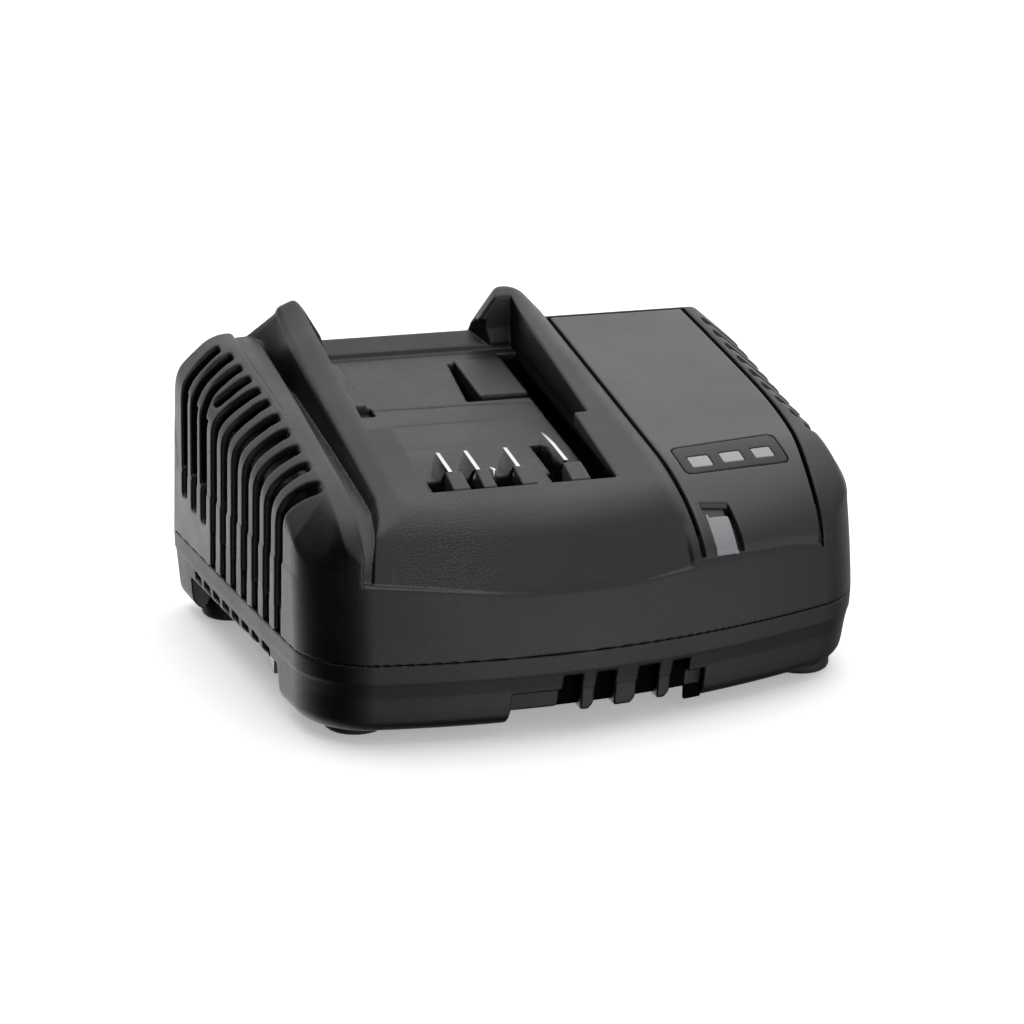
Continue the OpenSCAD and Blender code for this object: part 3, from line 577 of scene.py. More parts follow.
# ------------------------------------------------------------------ the panel and what is set in it
def strip_d(x, y, grow=0.0):
    """outline of the gauge window in plan"""
    q = rmax((27.7 - x - grow).astype(F) + 0 * y, (x - 57.2 - grow).astype(F) + 0 * y, 1.0)
    back = y - (-33.4 + 0.125 * (x - 28)) - grow
    front = (-45.9 + 0.115 * (x - 27.1)) - y - grow
    q = rmax(q, back.astype(F), 2.0)
    return rmax(q, front.astype(F), 2.0)


WINDOWS = (((30.4, 36.35), (-38.2, -43.0)), ((39.35, 45.4), (-37.25, -41.6)), ((48.5, 54.1), (-36.2, -40.5)))


def window_d(x, y, k, grow=0.0):
    (x0, x1), (yb, yf) = WINDOWS[k]
    s = 0.09 * (x - x0)
    q = np.maximum(x0 - x, x - x1) - grow
    return rmax((q + 0 * y).astype(F), np.maximum(y - yb - s, yf + s - y).astype(F) - grow, 0.5)


def status_d(x, y, grow=0.0):
    q = np.maximum(26.9 + 0.1 * (-56.5 - y) - x, x - 34.6 - 0.11 * (-56 - y))
    return smax(q, np.maximum(y + 56.2, -67.6 + 0.25 * (x - 27.9) - y), 0.6) - grow


def panel(h):
    g = Grid((22.4, -71.5, 11), (67.5, 53.5, 54.0), h)
    x, y, z = g.x, g.y, g.z
    gx = groove_r_x(y)
    side = np.maximum(24.2 - x, x - gx + 0.5)
    q = smax((side + 0 * z).astype(F), (y - 50.9 + 0 * x + 0 * z).astype(F), 0.4)
    # at its foot it dips a hair under the front wall, which it joins without a gap
    dip = 0.34 * np.clip((PANEL_FOOT(x) + 2.0 - z) / 2.2, 0, 1)
    top = panel_d(x, y, z) + dip
    q = smax(q, top.astype(F), 0.8)
    q = np.maximum(q, PANEL_FOOT(x) - 1.6 - z)
    q = np.maximum(q, -(top + 1.8))
    g.d = q.astype(F)

    def bed(x, y, z):
        return np.maximum(strip_d(x, y, 0.16), -panel_d(x, y, z) - 0.8)
    g.cut((25, -49, 26), (60, -26, 40), bed, 0.25)

    def hole(x, y, z):
        return status_d(x, y, 0.0) + 0 * z
    g.cut((24, -71, 11), (40, -53, 34), hole, 0.5)
    return g


def gauge_lens_grid(h):
    g = Grid((26.5, -47.8, 28), (58.6, -28, 39.5), h)
    x, y, z = g.x, g.y, g.z
    top = (z - panel_z(x, y) + 0.05) * 0.94
    q = smax(strip_d(x, y), top.astype(F), 0.5)
    q = np.maximum(q, panel_z(x, y) - 0.85 - z)
    for k in range(3):
        q = smax(q, -np.maximum(window_d(x, y, k, 0.06), panel_z(x, y) - 0.45 - z).astype(F), 0.15)
    g.d = q.astype(F)
    return g


def windows_grid(h):
    g = Grid((29.5, -45, 30), (55.2, -32, 38), h)
    x, y, z = g.x, g.y, g.z
    d = np.full((g.n[0], g.n[1], g.n[2]), 99, F)
    top = (z - panel_z(x, y) + 0.10) * 0.94
    for k in range(3):
        q = smax(window_d(x, y, k, -0.02), top.astype(F), 0.25)
        d = np.minimum(d, np.maximum(q, panel_z(x, y) - 0.42 - z))
    g.d = d.astype(F)
    return g


# ------------------------------------------------------------------ meshing
def surface(g):
    """quads of the zero surface, one point in each cell that it crosses"""
    d = g.d
    inside = d < 0
    nx, ny, nz = d.shape
    c = inside[:-1, :-1, :-1].astype(np.int8)
    tot = np.zeros((nx - 1, ny - 1, nz - 1), np.int8)
    for i in (0, 1):
        for j in (0, 1):
            for k in (0, 1):
                tot += inside[i:nx - 1 + i, j:ny - 1 + j, k:nz - 1 + k]
    cells = (tot > 0) & (tot < 8)
    idx = np.full(cells.shape, -1, np.int32)
    ci, cj, ck = np.nonzero(cells)
    n = len(ci)
    idx[ci, cj, ck] = np.arange(n, dtype=np.int32)
    acc = np.zeros((n, 3))
    cnt = np.zeros(n)
    corners = {(i, j, k): d[ci + i, cj + j, ck + k].astype(np.float64) for i in (0, 1) for j in (0, 1) for k in (0, 1)}
    for axis in range(3):
        for u in (0, 1):
            for v in (0, 1):
                a = [0, 0, 0]
                o = [q for q in range(3) if q != axis]
                a[o[0]], a[o[1]] = u, v
                b = list(a)
                b[axis] = 1
                da, db = corners[tuple(a)], corners[tuple(b)]
                cross = (da < 0) != (db < 0)
                t = np.where(cross, da / np.where(cross, da - db, 1), 0)
                p = np.zeros((n, 3))
                p[:, o[0]], p[:, o[1]] = u, v
                p[:, axis] = t
                acc += p * cross[:, None]
                cnt += cross
    p = acc / cnt[:, None] + np.stack([ci, cj, ck], 1)
    quads = []
    for axis in range(3):
        sl0 = [slice(None)] * 3
        sl1 = [slice(None)] * 3
        sl0[axis], sl1[axis] = slice(0, -1), slice(1, None)
        a, b = inside[tuple(sl0)], inside[tuple(sl1)]
        ch = a != b
        o = [q for q in range(3) if q != axis]
        i = list(np.nonzero(ch))
        ok = (i[o[0]] > 0) & (i[o[1]] > 0) & (i[o[0]] < d.shape[o[0]] - 1) & (i[o[1]] < d.shape[o[1]] - 1)
        i = [q[ok] for q in i]
        s = a[tuple(i)]
        q4 = []
        for (u, v) in ((0, 0), (1, 0), (1, 1), (0, 1)):
            j = [q.copy() for q in i]
            j[o[0]] -= 1 - u
            j[o[1]] -= 1 - v
            q4.append(idx[j[0], j[1], j[2]])
        q4 = np.stack(q4, 1)
        flip = s if axis != 1 else ~s
        q4 = np.where(flip[:, None], q4, q4[:, ::-1])
        quads.append(q4)
    quads = np.concatenate(quads)
    quads = quads[(quads >= 0).all(1)]
    return p, quads


def sample(d, p):
    """value of the grid at points given in cells"""
    q = np.clip(p, 0, np.array(d.shape) - 1.001)
    i = q.astype(int)
    f = q - i
    r = 0
    for a in (0, 1):
        for b in (0, 1):
            for c in (0, 1):
                w = (f[:, 0] if a else 1 - f[:, 0]) * (f[:, 1] if b else 1 - f[:, 1]) * (f[:, 2] if c else 1 - f[:, 2])
                r = r + w * d[i[:, 0] + a, i[:, 1] + b, i[:, 2] + c]
    return r


def slope_at(d, p, e=0.6):
    n = np.stack([sample(d, p + np.eye(3)[k] * e) - sample(d, p - np.eye(3)[k] * e) for k in range(3)], 1)
    return n / np.maximum(np.linalg.norm(n, axis=1, keepdims=True), 1e-9)


def grid_mesh(name, g, target, shift=(0, CAD_Y, CAD_Z)):
    p, quads = surface(g)
    for _ in range(2):
        n = np.stack([sample(g.d, p + np.eye(3)[k] * 0.5) - sample(g.d, p - np.eye(3)[k] * 0.5) for k in range(3)], 1)
        v = sample(g.d, p)
        p = p - np.clip(v / np.maximum((n * n).sum(1), 1e-3), -0.4, 0.4)[:, None] * n
    co = (p * g.h + g.lo + np.asarray(shift)) * 0.001
    me = bpy.data.meshes.new(name)
    me.vertices.add(len(co))
    me.vertices.foreach_set("co", co.astype(F).ravel())
    me.loops.add(quads.size)
    me.loops.foreach_set("vertex_index", quads.astype(np.int32).ravel())
    me.polygons.add(len(quads))
    me.polygons.foreach_set("loop_start", np.arange(0, quads.size, 4, dtype=np.int32))
    me.update(calc_edges=True)
    me.validate()
    ob = bpy.data.objects.new(name, me)
    bpy.context.scene.collection.objects.link(ob)
    tris = len(quads) * 2
    if tris > target:
        m = ob.modifiers.new("thin", "DECIMATE")
        m.ratio = target / tris
        dg = bpy.context.evaluated_depsgraph_get()
        new = bpy.data.meshes.new_from_object(ob.evaluated_get(dg))
        ob.modifiers.clear()
        ob.data = new
        bpy.data.meshes.remove(me)
        me = new
        me.name = name
    n = len(me.vertices)
    co = np.empty(n * 3, F)
    me.vertices.foreach_get("co", co)
    q = (co.reshape(-1, 3).astype(float) * 1000 - np.asarray(shift) - g.lo) / g.h
    nor = slope_at(g.d, q)
    me.polygons.foreach_set("use_smooth", np.ones(len(me.polygons), bool))
    me.normals_split_custom_set_from_vertices(nor.astype(F).tolist())
    me.update()
    return ob


# ------------------------------------------------------------------ frame, camera, light
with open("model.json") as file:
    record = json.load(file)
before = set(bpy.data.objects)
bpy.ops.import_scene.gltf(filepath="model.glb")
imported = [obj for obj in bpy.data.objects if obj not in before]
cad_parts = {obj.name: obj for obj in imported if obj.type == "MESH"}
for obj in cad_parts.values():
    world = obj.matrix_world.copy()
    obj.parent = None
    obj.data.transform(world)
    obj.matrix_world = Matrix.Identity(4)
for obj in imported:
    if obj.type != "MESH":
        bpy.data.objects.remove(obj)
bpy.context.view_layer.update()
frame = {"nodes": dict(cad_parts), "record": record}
NODE = frame["nodes"]
RECORD = frame["record"]
scene = bpy.context.scene


def mm(x, y, z):
    """a point given in the shells' own millimetres, in metres in the frame"""
    return Vector((x, y + CAD_Y, z + CAD_Z)) * 0.001


def camera():
    yaw, pitch, roll = math.radians(18.379), math.radians(16.951), math.radians(0.490)
    fwd = Vector((math.sin(yaw) * math.cos(pitch), math.cos(yaw) * math.cos(pitch), -math.sin(pitch)))
    rt = Vector((math.cos(yaw), -math.sin(yaw), 0))
    up = rt.cross(fwd)
    r = rt * math.cos(roll) + up * math.sin(roll)
    u = up * math.cos(roll) - rt * math.sin(roll)
    cam = bpy.data.cameras.new("camera")
    cam.sensor_width = 36
    cam.lens = 2900 / 1024 * 36
    cam.clip_start, cam.clip_end = 0.05, 20
    ob = bpy.data.objects.new("camera", cam)
    m = Matrix((r, u, -fwd)).transposed().to_4x4()
    m.translation = mm(-234.178, -695.040, 235.799)
    ob.matrix_world = m
    scene.collection.objects.link(ob)
    scene.camera = ob


# ------------------------------------------------------------------ materials
class Mat:
    """a principled material with a few helpers for procedural detail"""

    def __init__(self, name, color, rough, metal=0.0, spec=0.5):
        self.m = bpy.data.materials.new(name)
        self.m.use_nodes = True
        self.nt = self.m.node_tree
        self.b = self.nt.nodes["Principled BSDF"]
        self.color = color
        self.rough = rough
        self.b.inputs["Base Color"].default_value = (*color, 1)
        self.b.inputs["Roughness"].default_value = rough
        self.b.inputs["Metallic"].default_value = metal
        self.b.inputs["Specular IOR Level"].default_value = spec
        self.co = self.nt.nodes.new("ShaderNodeTexCoord").outputs["Object"]
        self.normal = None

    def stretch(self, s):
        n = self.nt.nodes.new("ShaderNodeMapping")
        n.inputs["Scale"].default_value = s
        self.nt.links.new(self.co, n.inputs["Vector"])
        return n.outputs["Vector"]

    def noise(self, scale, detail=3.0, rough=0.55, co=None):
        n = self.nt.nodes.new("ShaderNodeTexNoise")
        n.inputs["Scale"].default_value = scale
        n.inputs["Detail"].default_value = detail
        n.inputs["Roughness"].default_value = rough
        self.nt.links.new(co or self.co, n.inputs["Vector"])
        return n.outputs["Fac"]

    def cells(self, scale, feature="F1", co=None):
        n = self.nt.nodes.new("ShaderNodeTexVoronoi")
        n.feature = feature
        n.inputs["Scale"].default_value = scale
        self.nt.links.new(co or self.co, n.inputs["Vector"])
        return n.outputs["Distance"]

    def span(self, v, a, b, c, d):
        n = self.nt.nodes.new("ShaderNodeMapRange")
        n.inputs["From Min"].default_value = a
        n.inputs["From Max"].default_value = b
        n.inputs["To Min"].default_value = c
        n.inputs["To Max"].default_value = d
        self.nt.links.new(v, n.inputs["Value"])
        return n.outputs["Result"]

    def math(self, op, a, b):
        n = self.nt.nodes.new("ShaderNodeMath")
        n.operation = op
        for i, v in enumerate((a, b)):
            if isinstance(v, (int, float)):
                n.inputs[i].default_value = v
            else:
                self.nt.links.new(v, n.inputs[i])
        return n.outputs[0]

    def axis(self, k):
        n = self.nt.nodes.new("ShaderNodeSeparateXYZ")
        self.nt.links.new(self.co, n.inputs[0])
        return n.outputs[k]

    def tint(self, fac):
        """scales the colour by a value"""
        n = self.nt.nodes.new("ShaderNodeVectorMath")
        n.operation = "SCALE"
        n.inputs[0].default_value = self.color
        self.nt.links.new(fac, n.inputs["Scale"])
        self.nt.links.new(n.outputs["Vector"], self.b.inputs["Base Color"])

    def set(self, name, v):
        self.nt.links.new(v, self.b.inputs[name])

    def bump(self, height, strength, distance):
        n = self.nt.nodes.new("ShaderNodeBump")
        if isinstance(strength, (int, float)):
            n.inputs["Strength"].default_value = strength
        else:
            self.nt.links.new(strength, n.inputs["Strength"])
        n.inputs["Distance"].default_value = distance
        self.nt.links.new(height, n.inputs["Height"])
        if self.normal is not None:
            self.nt.links.new(self.normal, n.inputs["Normal"])
        self.normal = n.outputs["Normal"]
        self.nt.links.new(self.normal, self.b.inputs["Normal"])


def plastic(name, color, rough, grain=0.3, scale=2400, vary=0.10, spec=0.5, leather=False):
    """moulded plastic: fine spark-eroded grain, slight cloudiness, and a fine bright speckle of painted highlight that
    stands in for the grain's sparkle
    """
    q = Mat(name, color, rough, spec=spec)
    fine = q.noise(scale, 2.0, 0.6)
    mid = q.noise(scale * 0.28, 3.0, 0.6)
    cloud = q.noise(46, 4.0, 0.6)
    # the fine noise's peaks brighten the colour: painted glints (sparkle) of the grain
    q.tint(q.math("ADD", q.span(cloud, 0.3, 0.7, 1 - vary, 1 + vary), q.span(fine, 0.62, 0.78, 0.0, 0.35)))
    r = q.span(cloud, 0.3, 0.7, rough - 0.04, rough + 0.05)
    q.set("Roughness", q.math("ADD", r, q.span(fine, 0.3, 0.7, -0.06, 0.06)))
    q.bump(mid, grain * 0.7, 0.00010)
    q.bump(fine, grain, 0.00006)
    if leather:
        # coarser, leather-like grain on the left front of the nose
        wrinkle = q.cells(1150, "DISTANCE_TO_EDGE", q.stretch((1.0, 0.8, 1.15)))
        x, z = q.axis(0), q.axis(2)
        m = q.math("MULTIPLY", q.span(x, -0.056, -0.050, 0.0, 1.0), q.span(x, -0.034, -0.014, 1.0, 0.14))
        m = q.math("MULTIPLY", m, q.span(z, 0.037, 0.041, 0.0, 1.0))
        m = q.math("MULTIPLY", m, q.span(z, 0.0585, 0.0615, 1.0, 0.12))
        m = q.math("MULTIPLY", m, q.span(q.axis(1), -0.0395, -0.0370, 1.0, 0.0))
        q.bump(q.span(wrinkle, 0.0, 0.22, 0.0, 1.0), q.math("MULTIPLY", m, 0.36), 0.00016)
    return q.m


def flat_paint(name, color, rough, metal=0.0, spec=0.5, scale=900, grain=0.12, vary=0.08, brushed=None):
    q = Mat(name, color, rough, metal, spec)
    co = q.stretch(brushed) if brushed else None
    n = q.noise(scale, 3.0, 0.6, co)
    cloud = q.noise(120, 3.0, 0.6)
    q.tint(q.span(cloud, 0.3, 0.7, 1 - vary, 1 + vary))
    q.set("Roughness", q.span(n, 0.3, 0.7, max(0.03, rough - 0.07), rough + 0.07))
    q.bump(n, grain, 0.00005)
    return q


def paint(ob, m):
    ob.data.materials.clear()
    ob.data.materials.append(m)


def make_materials():
    m = {}
    m["case_black"] = plastic("case_black", (0.0060, 0.0060, 0.0066), 0.46, grain=0.42, leather=True)
    m["base_black"] = plastic("base_black", (0.0058, 0.0058, 0.0063), 0.50, grain=0.42)
    m["panel_grey"] = plastic("panel_grey", (0.018, 0.018, 0.0205), 0.34, grain=0.16, scale=3000, vary=0.05)
    m["lens_dark"] = flat_paint("lens_dark", (0.012, 0.012, 0.0132), 0.34, spec=0.24, scale=1500, grain=0.05, vary=0.05).m
    w = flat_paint("window_white", (0.31, 0.312, 0.322), 0.40, scale=700, grain=0.10)
    w.b.inputs["Coat Weight"].default_value = 0.3
    w.b.inputs["Coat Roughness"].default_value = 0.15
    m["window_white"] = w.m
    q = flat_paint("light_pipe", (0.36, 0.37, 0.39), 0.22, scale=300, grain=0.25)
    q.b.inputs["Transmission Weight"].default_value = 0.25
    q.b.inputs["IOR"].default_value = 1.46
    m["light_pipe"] = q.m
    m["holder_black"] = plastic("holder_black", (0.016, 0.016, 0.017), 0.40, grain=0.2, scale=2600)
    m["contact_metal"] = flat_paint("contact_metal", (0.62, 0.62, 0.60), 0.24, metal=1.0, scale=1400, grain=0.12, brushed=(1.0, 0.15, 1.0)).m
    m["board_green"] = flat_paint("board_green", (0.02, 0.13, 0.05), 0.35, scale=1500, grain=0.2, vary=0.15).m
    m["led_body"] = flat_paint("led_body", (0.8, 0.8, 0.74), 0.3).m
    m["ferrite"] = flat_paint("ferrite", (0.05, 0.05, 0.052), 0.55, scale=2500, grain=0.5, vary=0.2).m
    m["bobbin"] = flat_paint("bobbin", (0.6, 0.48, 0.2), 0.45).m
    m["copper_wire"] = flat_paint("copper_wire", (0.62, 0.26, 0.09), 0.28, metal=0.85, scale=1500, grain=0.6, brushed=(0.05, 0.05, 1.0)).m
    m["capacitor_sleeve"] = flat_paint("capacitor_sleeve", (0.02, 0.025, 0.06), 0.28).m
    m["film_yellow"] = flat_paint("film_yellow", (0.7, 0.48, 0.05), 0.3).m
    f = flat_paint("fuse_glass", (0.78, 0.80, 0.80), 0.1, grain=0.03)
    f.b.inputs["Transmission Weight"].default_value = 0.8
    m["fuse_glass"] = f.m
    m["varistor_blue"] = flat_paint("varistor_blue", (0.02, 0.1, 0.35), 0.32, scale=500, grain=0.35).m
    m["chip_black"] = flat_paint("chip_black", (0.02, 0.02, 0.02), 0.5, scale=2500, grain=0.4).m
    m["heatsink"] = flat_paint("heatsink", (0.6, 0.61, 0.62), 0.35, metal=1.0, scale=1800, grain=0.3, brushed=(1.0, 0.08, 1.0)).m
    m["fan_black"] = plastic("fan_black", (0.016, 0.016, 0.017), 0.38, grain=0.2)
    m["steel"] = flat_paint("steel", (0.52, 0.52, 0.52), 0.3, metal=1.0, scale=1500, grain=0.25).m
    m["lead_red"] = flat_paint("lead_red", (0.42, 0.03, 0.02), 0.35).m
    m["ribbon_grey"] = flat_paint("ribbon_grey", (0.4, 0.4, 0.38), 0.4, scale=900, grain=0.5, brushed=(3.0, 0.05, 0.05)).m
    # near-black, matt material for the screens behind openings: painted shade
    m["shade"] = plastic("shade", (0.0015, 0.0015, 0.0016), 0.9, grain=0.1, spec=0.05)
    m["foot_rubber"] = flat_paint("foot_rubber", (0.010, 0.010, 0.010), 0.72, scale=2200, grain=0.5, vary=0.15).m
    return m


# ------------------------------------------------------------------ pieces
SLOT = {s["node"]: s["material_slot"] for s in RECORD["subparts"]}
HOME = {n: b for b, ns in RECORD["behaviour"]["bodies"].items() for n in ns}


def piece(ob, nodes, slot=None, body="charger"):
    """the object stands for the CAD nodes: painted with the material of their slot, put on its body, and the nodes
    hidden
    """
    nodes = [nodes] if isinstance(nodes, str) else nodes
    slot = slot or SLOT[nodes[0]]
    paint(ob, MAT[slot])
    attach(ob, body)
    if nodes:
        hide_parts(*nodes)
    return ob


def from_bm(name, bm, smooth=35):
    me = bpy.data.meshes.new(name)
    bm.normal_update()
    bm.to_mesh(me)
    bm.free()
    for p in me.polygons:
        p.use_smooth = True
    if smooth:
        me.set_sharp_from_angle(angle=math.radians(smooth))
    ob = bpy.data.objects.new(name, me)
    scene.collection.objects.link(ob)
    return ob


def bevel(bm, width, segments=2, angle=30, clamp=True):
    edges = [e for e in bm.edges if len(e.link_faces) == 2 and e.calc_face_angle(0) > math.radians(angle)]
    if edges:
        bmesh.ops.bevel(bm, geom=edges, offset=width, offset_type="OFFSET", segments=segments, profile=0.5, affect="EDGES", clamp_overlap=clamp, harden_normals=False)


def rounded_copy(n, width):
    """the CAD node's own shape with its edges rounded"""
    src = NODE[n].data
    bm = bmesh.new()
    bm.from_mesh(src)
    bmesh.ops.remove_doubles(bm, verts=bm.verts, dist=1e-6)
    bmesh.ops.dissolve_limit(bm, angle_limit=math.radians(0.5), verts=bm.verts, edges=bm.edges)
    bevel(bm, width, 2, 40)
    ob = from_bm(n + ".round", bm, 30)
    return piece(ob, n, body=HOME[n])


def prism_x(name, pts, x0, x1, width=0.15e-3):
    """a plate in a y-z plane between x0 and x1, its outline in the shells' millimetres"""
    bm = bmesh.new()
    a = [bm.verts.new(mm(x0, y, z)) for y, z in pts]
    b = [bm.verts.new(mm(x1, y, z)) for y, z in pts]
    bm.faces.new(a)
    bm.faces.new(list(reversed(b)))
    n = len(pts)
    for i in range(n):
        bm.faces.new((a[i], b[i], b[(i + 1) % n], a[(i + 1) % n]))
    bmesh.ops.recalc_face_normals(bm, faces=bm.faces)
    bevel(bm, width, 2, 20)
    return from_bm(name, bm)


def lathe(name, prof, at, seg=64, smooth=40, axis="z"):
    """a turned piece: profile of (radius, height) in mm around an upright axis"""
    bm = bmesh.new()
    rings = []
    for r, z in prof:
        if r <= 0:
            rings.append([bm.verts.new(mm(at[0], at[1], at[2] + z))])
        else:
            rings.append([bm.verts.new(mm(at[0] + r * math.cos(2 * math.pi * i / seg), at[1] + r * math.sin(2 * math.pi * i / seg), at[2] + z)) for i in range(seg)])
    for a, b in zip(rings, rings[1:]):
        if len(a) == 1 and len(b) == 1:
            continue
        for i in range(seg):
            j = (i + 1) % seg
            if len(a) == 1:
                bm.faces.new((a[0], b[i], b[j]))
            elif len(b) == 1:
                bm.faces.new((a[i], b[0], a[j]))
            else:
                bm.faces.new((a[i], b[i], b[j], a[j]))
    bmesh.ops.recalc_face_normals(bm, faces=bm.faces)
    return from_bm(name, bm, smooth)


def join(name, obs):
    bm = bmesh.new()
    for o in obs:
        bm.from_mesh(o.data)
    for o in obs:
        me = o.data
        bpy.data.objects.remove(o)
        bpy.data.meshes.remove(me)
    return from_bm(name, bm, 35)


def status_lens():
    """the clear light pipe: its face a little sunk, with a raised rim on the left and below"""
    g = Grid((25.8, -70.0, 13.0), (37.0, -55.5, 30.5), 0.2)
    x, y, z = g.x, g.y, g.z
    left = 27.35 + 0.03 * (-59 - y) - x
    right = x - 33.75 - 0.035 * (-58 - y)
    top = y + 59.3 - 0.14 * (x - 27.3)
    low = -67.3 + 0.16 * (x - 27.9) - y
    face = panel_d(x, y, z) + 0.75
    q = smax(np.maximum(left, right).astype(F), np.maximum(top, low).astype(F) + 0 * left, 0.5)
    q = smax(q + 0 * z, face.astype(F), 0.5)
    q = np.maximum(q, -(face + 2.4))
    rim = np.maximum(left, right) + 0 * y
    rim = np.maximum(rim, np.maximum(top, low))
    inner = np.maximum(np.maximum(left + 0.75, right + 0.1), np.maximum(top - 5, low + 0.7))
    rim = smax(rim.astype(F), (-inner).astype(F), 0.2)
    rim = smax(rim + 0 * z, (panel_d(x, y, z) + 0.2).astype(F), 0.2)
    rim = np.maximum(rim, -(face + 2.4))
    g.d = np.minimum(q, rim).astype(F)
    piece(grid_mesh("status_lens", g, 40000), "status_light_pipe")
    # dark recess behind and above the light pipe
    g = Grid((25.6, -69.5, 11.0), (37.2, -54.5, 30.5), 0.3)
    x, y, z = g.x, g.y, g.z
    q = status_d(x, y, 0.5) + 0 * z
    d = panel_d(x, y, z) + 1.5 + 1.6 * np.clip((x - 33.4) / 0.7, 0, 1)
    q = np.maximum(q, d)
    q = np.maximum(q, -(d + 1.3))
    g.d = q.astype(F)
    ob = grid_mesh("status_recess", g, 20000)
    paint(ob, MAT["panel_grey"])
    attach(ob, "charger")


def blades():
    t = 0.55
    for i in range(3):
        b = BLADE_X[i]
        pts = [(-41.6, 37.6), (-30.4, 39.5), (-27.0, 34.6), (-25.4, 29.6), (-25.2, 25.0), (-34.6, 25.0), (-34.6, 29.0), (-35.6, 34.0), (-38.2, 36.3)]
        piece(prism_x("blade_%d" % (i + 1), pts, b - t, b + t, 0.18e-3), "terminal_blade_%d" % (i + 1))
    b = BLADE_X[3]
    pts = [(-36.2, 36.6), (-26.0, 38.1), (-17.4, 39.0), (-16.2, 33.6), (-16.0, 25.0), (-31.0, 25.0), (-31.6, 29.0), (-33.0, 34.0)]
    piece(prism_x("blade_4", pts, b - t, b + t, 0.18e-3), "terminal_blade_4")
    pts = [(-36.0, 35.5), (-32.7, 35.5), (-32.7, 25.0), (-36.0, 25.0)]
    piece(prism_x("contact_5", pts, -20.3, -19.3, 0.15e-3), "terminal_contact_5")


def feet():
    obs = []
    for k, (cx, cy) in enumerate(((-60.5, -51.5), (61, -43.5), (-70.5, 40), (70.5, 40))):
        obs.append(lathe("foot%d" % k, [(0, -16.0), (7.7, -16.0), (8.0, -17.2), (8.0, -20.6), (7.75, -21.3), (7.1, -21.85), (6.2, -22.0), (4.2, -22.0), (3.6, -21.7), (3.2, -21.0), (0, -20.9)], (cx, cy, 0)))
    piece(join("feet", obs), "rubber_feet")


def shade(name, lo, hi, f, h):
    """a near-black sheet inside the case behind an opening: painted shade where the interior is dark"""
    g = Grid(lo, hi, h)
    g.d = f(g.x, g.y, g.z).astype(F)
    ob = grid_mesh(name, g, 20000)
    paint(ob, MAT["shade"])
    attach(ob, "charger")


def shades():
    # black sheets behind the front air slots and at the right end of the recess: painted shade
    def front(x, y, z):
        t = y - front_y(x)
        q = np.maximum(np.maximum(-14.9 - x, x - 20.2), np.abs(t - 6.3) - 0.7)
        q = np.maximum(q, np.maximum(-15.2 - z, z + 5.2))
        e = np.maximum(np.maximum(20.0 - x, x - 24.9), np.abs(t - 6.3) - 0.7)
        return np.minimum(q, np.maximum(e, np.maximum(-18.8 - z, z + 9.5)))
    shade("front_shade", (-16.5, -72.5, -19.8), (26.2, -60.0, -4.2), front, 0.4)

    # black plate under the openings at the blades: painted shade over the interior
    def under(x, y, z):
        return box_d(x, y, z, (-38.5, -50.2, 27.4), (8.8, -10.0, 28.4), 0.3)
    shade("floor_shade", (-40, -52, 26), (10.5, -8, 30), under, 0.5)


# ------------------------------------------------------------------ build
camera()
MAT = make_materials()
H = 0.5

gu = upper_shell(H)
piece(grid_mesh("upper_case", gu, 190000), "upper_shell")
del gu
gl = lower_shell(H)
piece(grid_mesh("lower_case", gl, 160000), "lower_shell")
del gl
gp = panel(0.36)
piece(grid_mesh("panel", gp, 120000), "top_panel")
del gp
piece(grid_mesh("strip_lens", gauge_lens_grid(0.22), 60000), "gauge_lens")
piece(grid_mesh("strip_windows", windows_grid(0.2), 30000), "gauge_windows")
status_lens()
piece(grid_mesh("wedges", wedges(0.3), 60000), "terminal_holder")
blades()
feet()
shades()
DONE = {"upper_shell", "lower_shell", "top_panel", "gauge_lens", "gauge_windows", "status_light_pipe", "terminal_holder", "terminal_blade_1", "terminal_blade_2", "terminal_blade_3",
        "terminal_blade_4", "terminal_contact_5", "rubber_feet"}
THIN = {"led_ribbon": 0.05e-3, "fan_lead": 0.1e-3, "terminal_leads": 0.1e-3, "transformer_winding": 0.15e-3}
for n in sorted(NODE):
    if n not in DONE:
        rounded_copy(n, THIN.get(n, 0.18e-3))

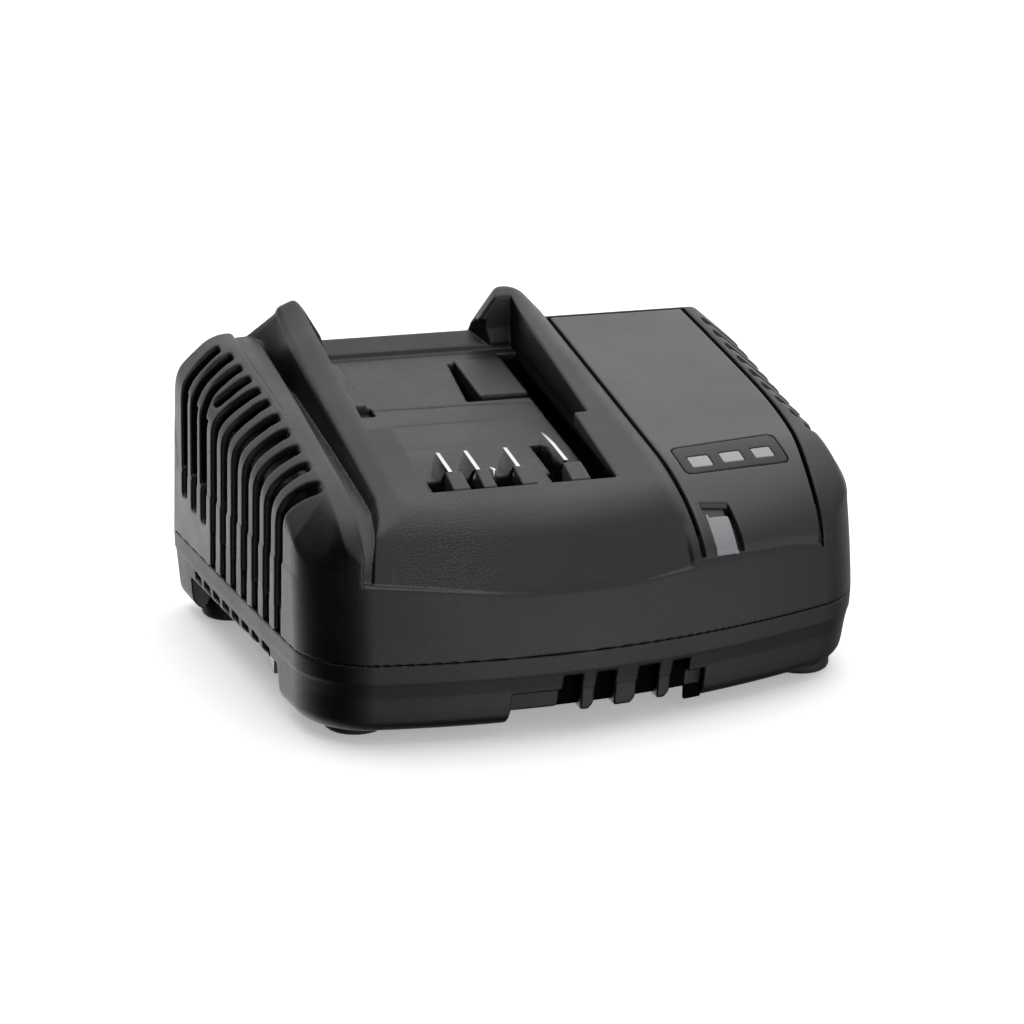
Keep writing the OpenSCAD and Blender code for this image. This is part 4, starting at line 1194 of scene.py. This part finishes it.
# pale floor and soft light
me = bpy.data.meshes.new("floor")
me.from_pydata([(-6, -6, 0), (6, -6, 0), (6, 6, 0), (-6, 6, 0)], [], [(0, 1, 2, 3)])
floor = bpy.data.objects.new("floor", me)
scene.collection.objects.link(floor)
fm = Mat("floor", (0.93, 0.93, 0.93), 0.7, spec=0.1)
fm.b.inputs["Emission Color"].default_value = (1, 1, 1, 1)
fm.b.inputs["Emission Strength"].default_value = 0.34
floor.data.materials.append(fm.m)
floor.visible_glossy = False
floor.visible_diffuse = False

world = bpy.data.worlds.new("world")
scene.world = world
world.use_nodes = True
wt = world.node_tree


def lobe(direction, lo, hi, gain, last):
    """adds gain to the sky around a direction: from nothing at cosine lo to all of it at cosine hi"""
    co = wt.nodes.new("ShaderNodeTexCoord")
    dot = wt.nodes.new("ShaderNodeVectorMath")
    dot.operation = "DOT_PRODUCT"
    dot.inputs[1].default_value = Vector(direction).normalized()
    wt.links.new(co.outputs["Generated"], dot.inputs[0])
    m = wt.nodes.new("ShaderNodeMapRange")
    m.interpolation_type = "SMOOTHSTEP"
    m.inputs["From Min"].default_value = lo
    m.inputs["From Max"].default_value = hi
    m.inputs["To Min"].default_value = 0.0
    m.inputs["To Max"].default_value = gain
    wt.links.new(dot.outputs["Value"], m.inputs["Value"])
    if last is None:
        return m.outputs["Result"]
    a = wt.nodes.new("ShaderNodeMath")
    a.operation = "ADD"
    wt.links.new(last, a.inputs[0])
    wt.links.new(m.outputs["Result"], a.inputs[1])
    return a.outputs[0]


sky = lobe((0, 0, 1), -1.0, 1.0, 0.62, None)                 # overall, brighter upwards
sky = lobe((0, 0, 1), 0.80, 1.0, 1.3, sky)                   # large softbox overhead
sky = lobe((0.25, 0.75, 0.45), 0.2, 1.0, 0.92, sky)          # bright backdrop behind and above
sky = lobe((0.25, -0.90, -0.30), 0.45, 1.0, 1.28, sky)       # white card low in front
sky = lobe((-0.33, 0.87, -0.45), 0.72, 0.97, 1.75, sky)      # left rear, low
sky = lobe((-0.92, -0.30, -0.10), 0.30, 0.75, -1.0, sky)     # dark side on the left front
cap = wt.nodes.new("ShaderNodeMath")
cap.operation = "MAXIMUM"
cap.inputs[1].default_value = 0.0
wt.links.new(sky, cap.inputs[0])
wt.links.new(cap.outputs[0], wt.nodes["Background"].inputs["Strength"])
wt.nodes["Background"].inputs["Color"].default_value = (1, 1, 1, 1)
scene.view_settings.view_transform = "Standard"
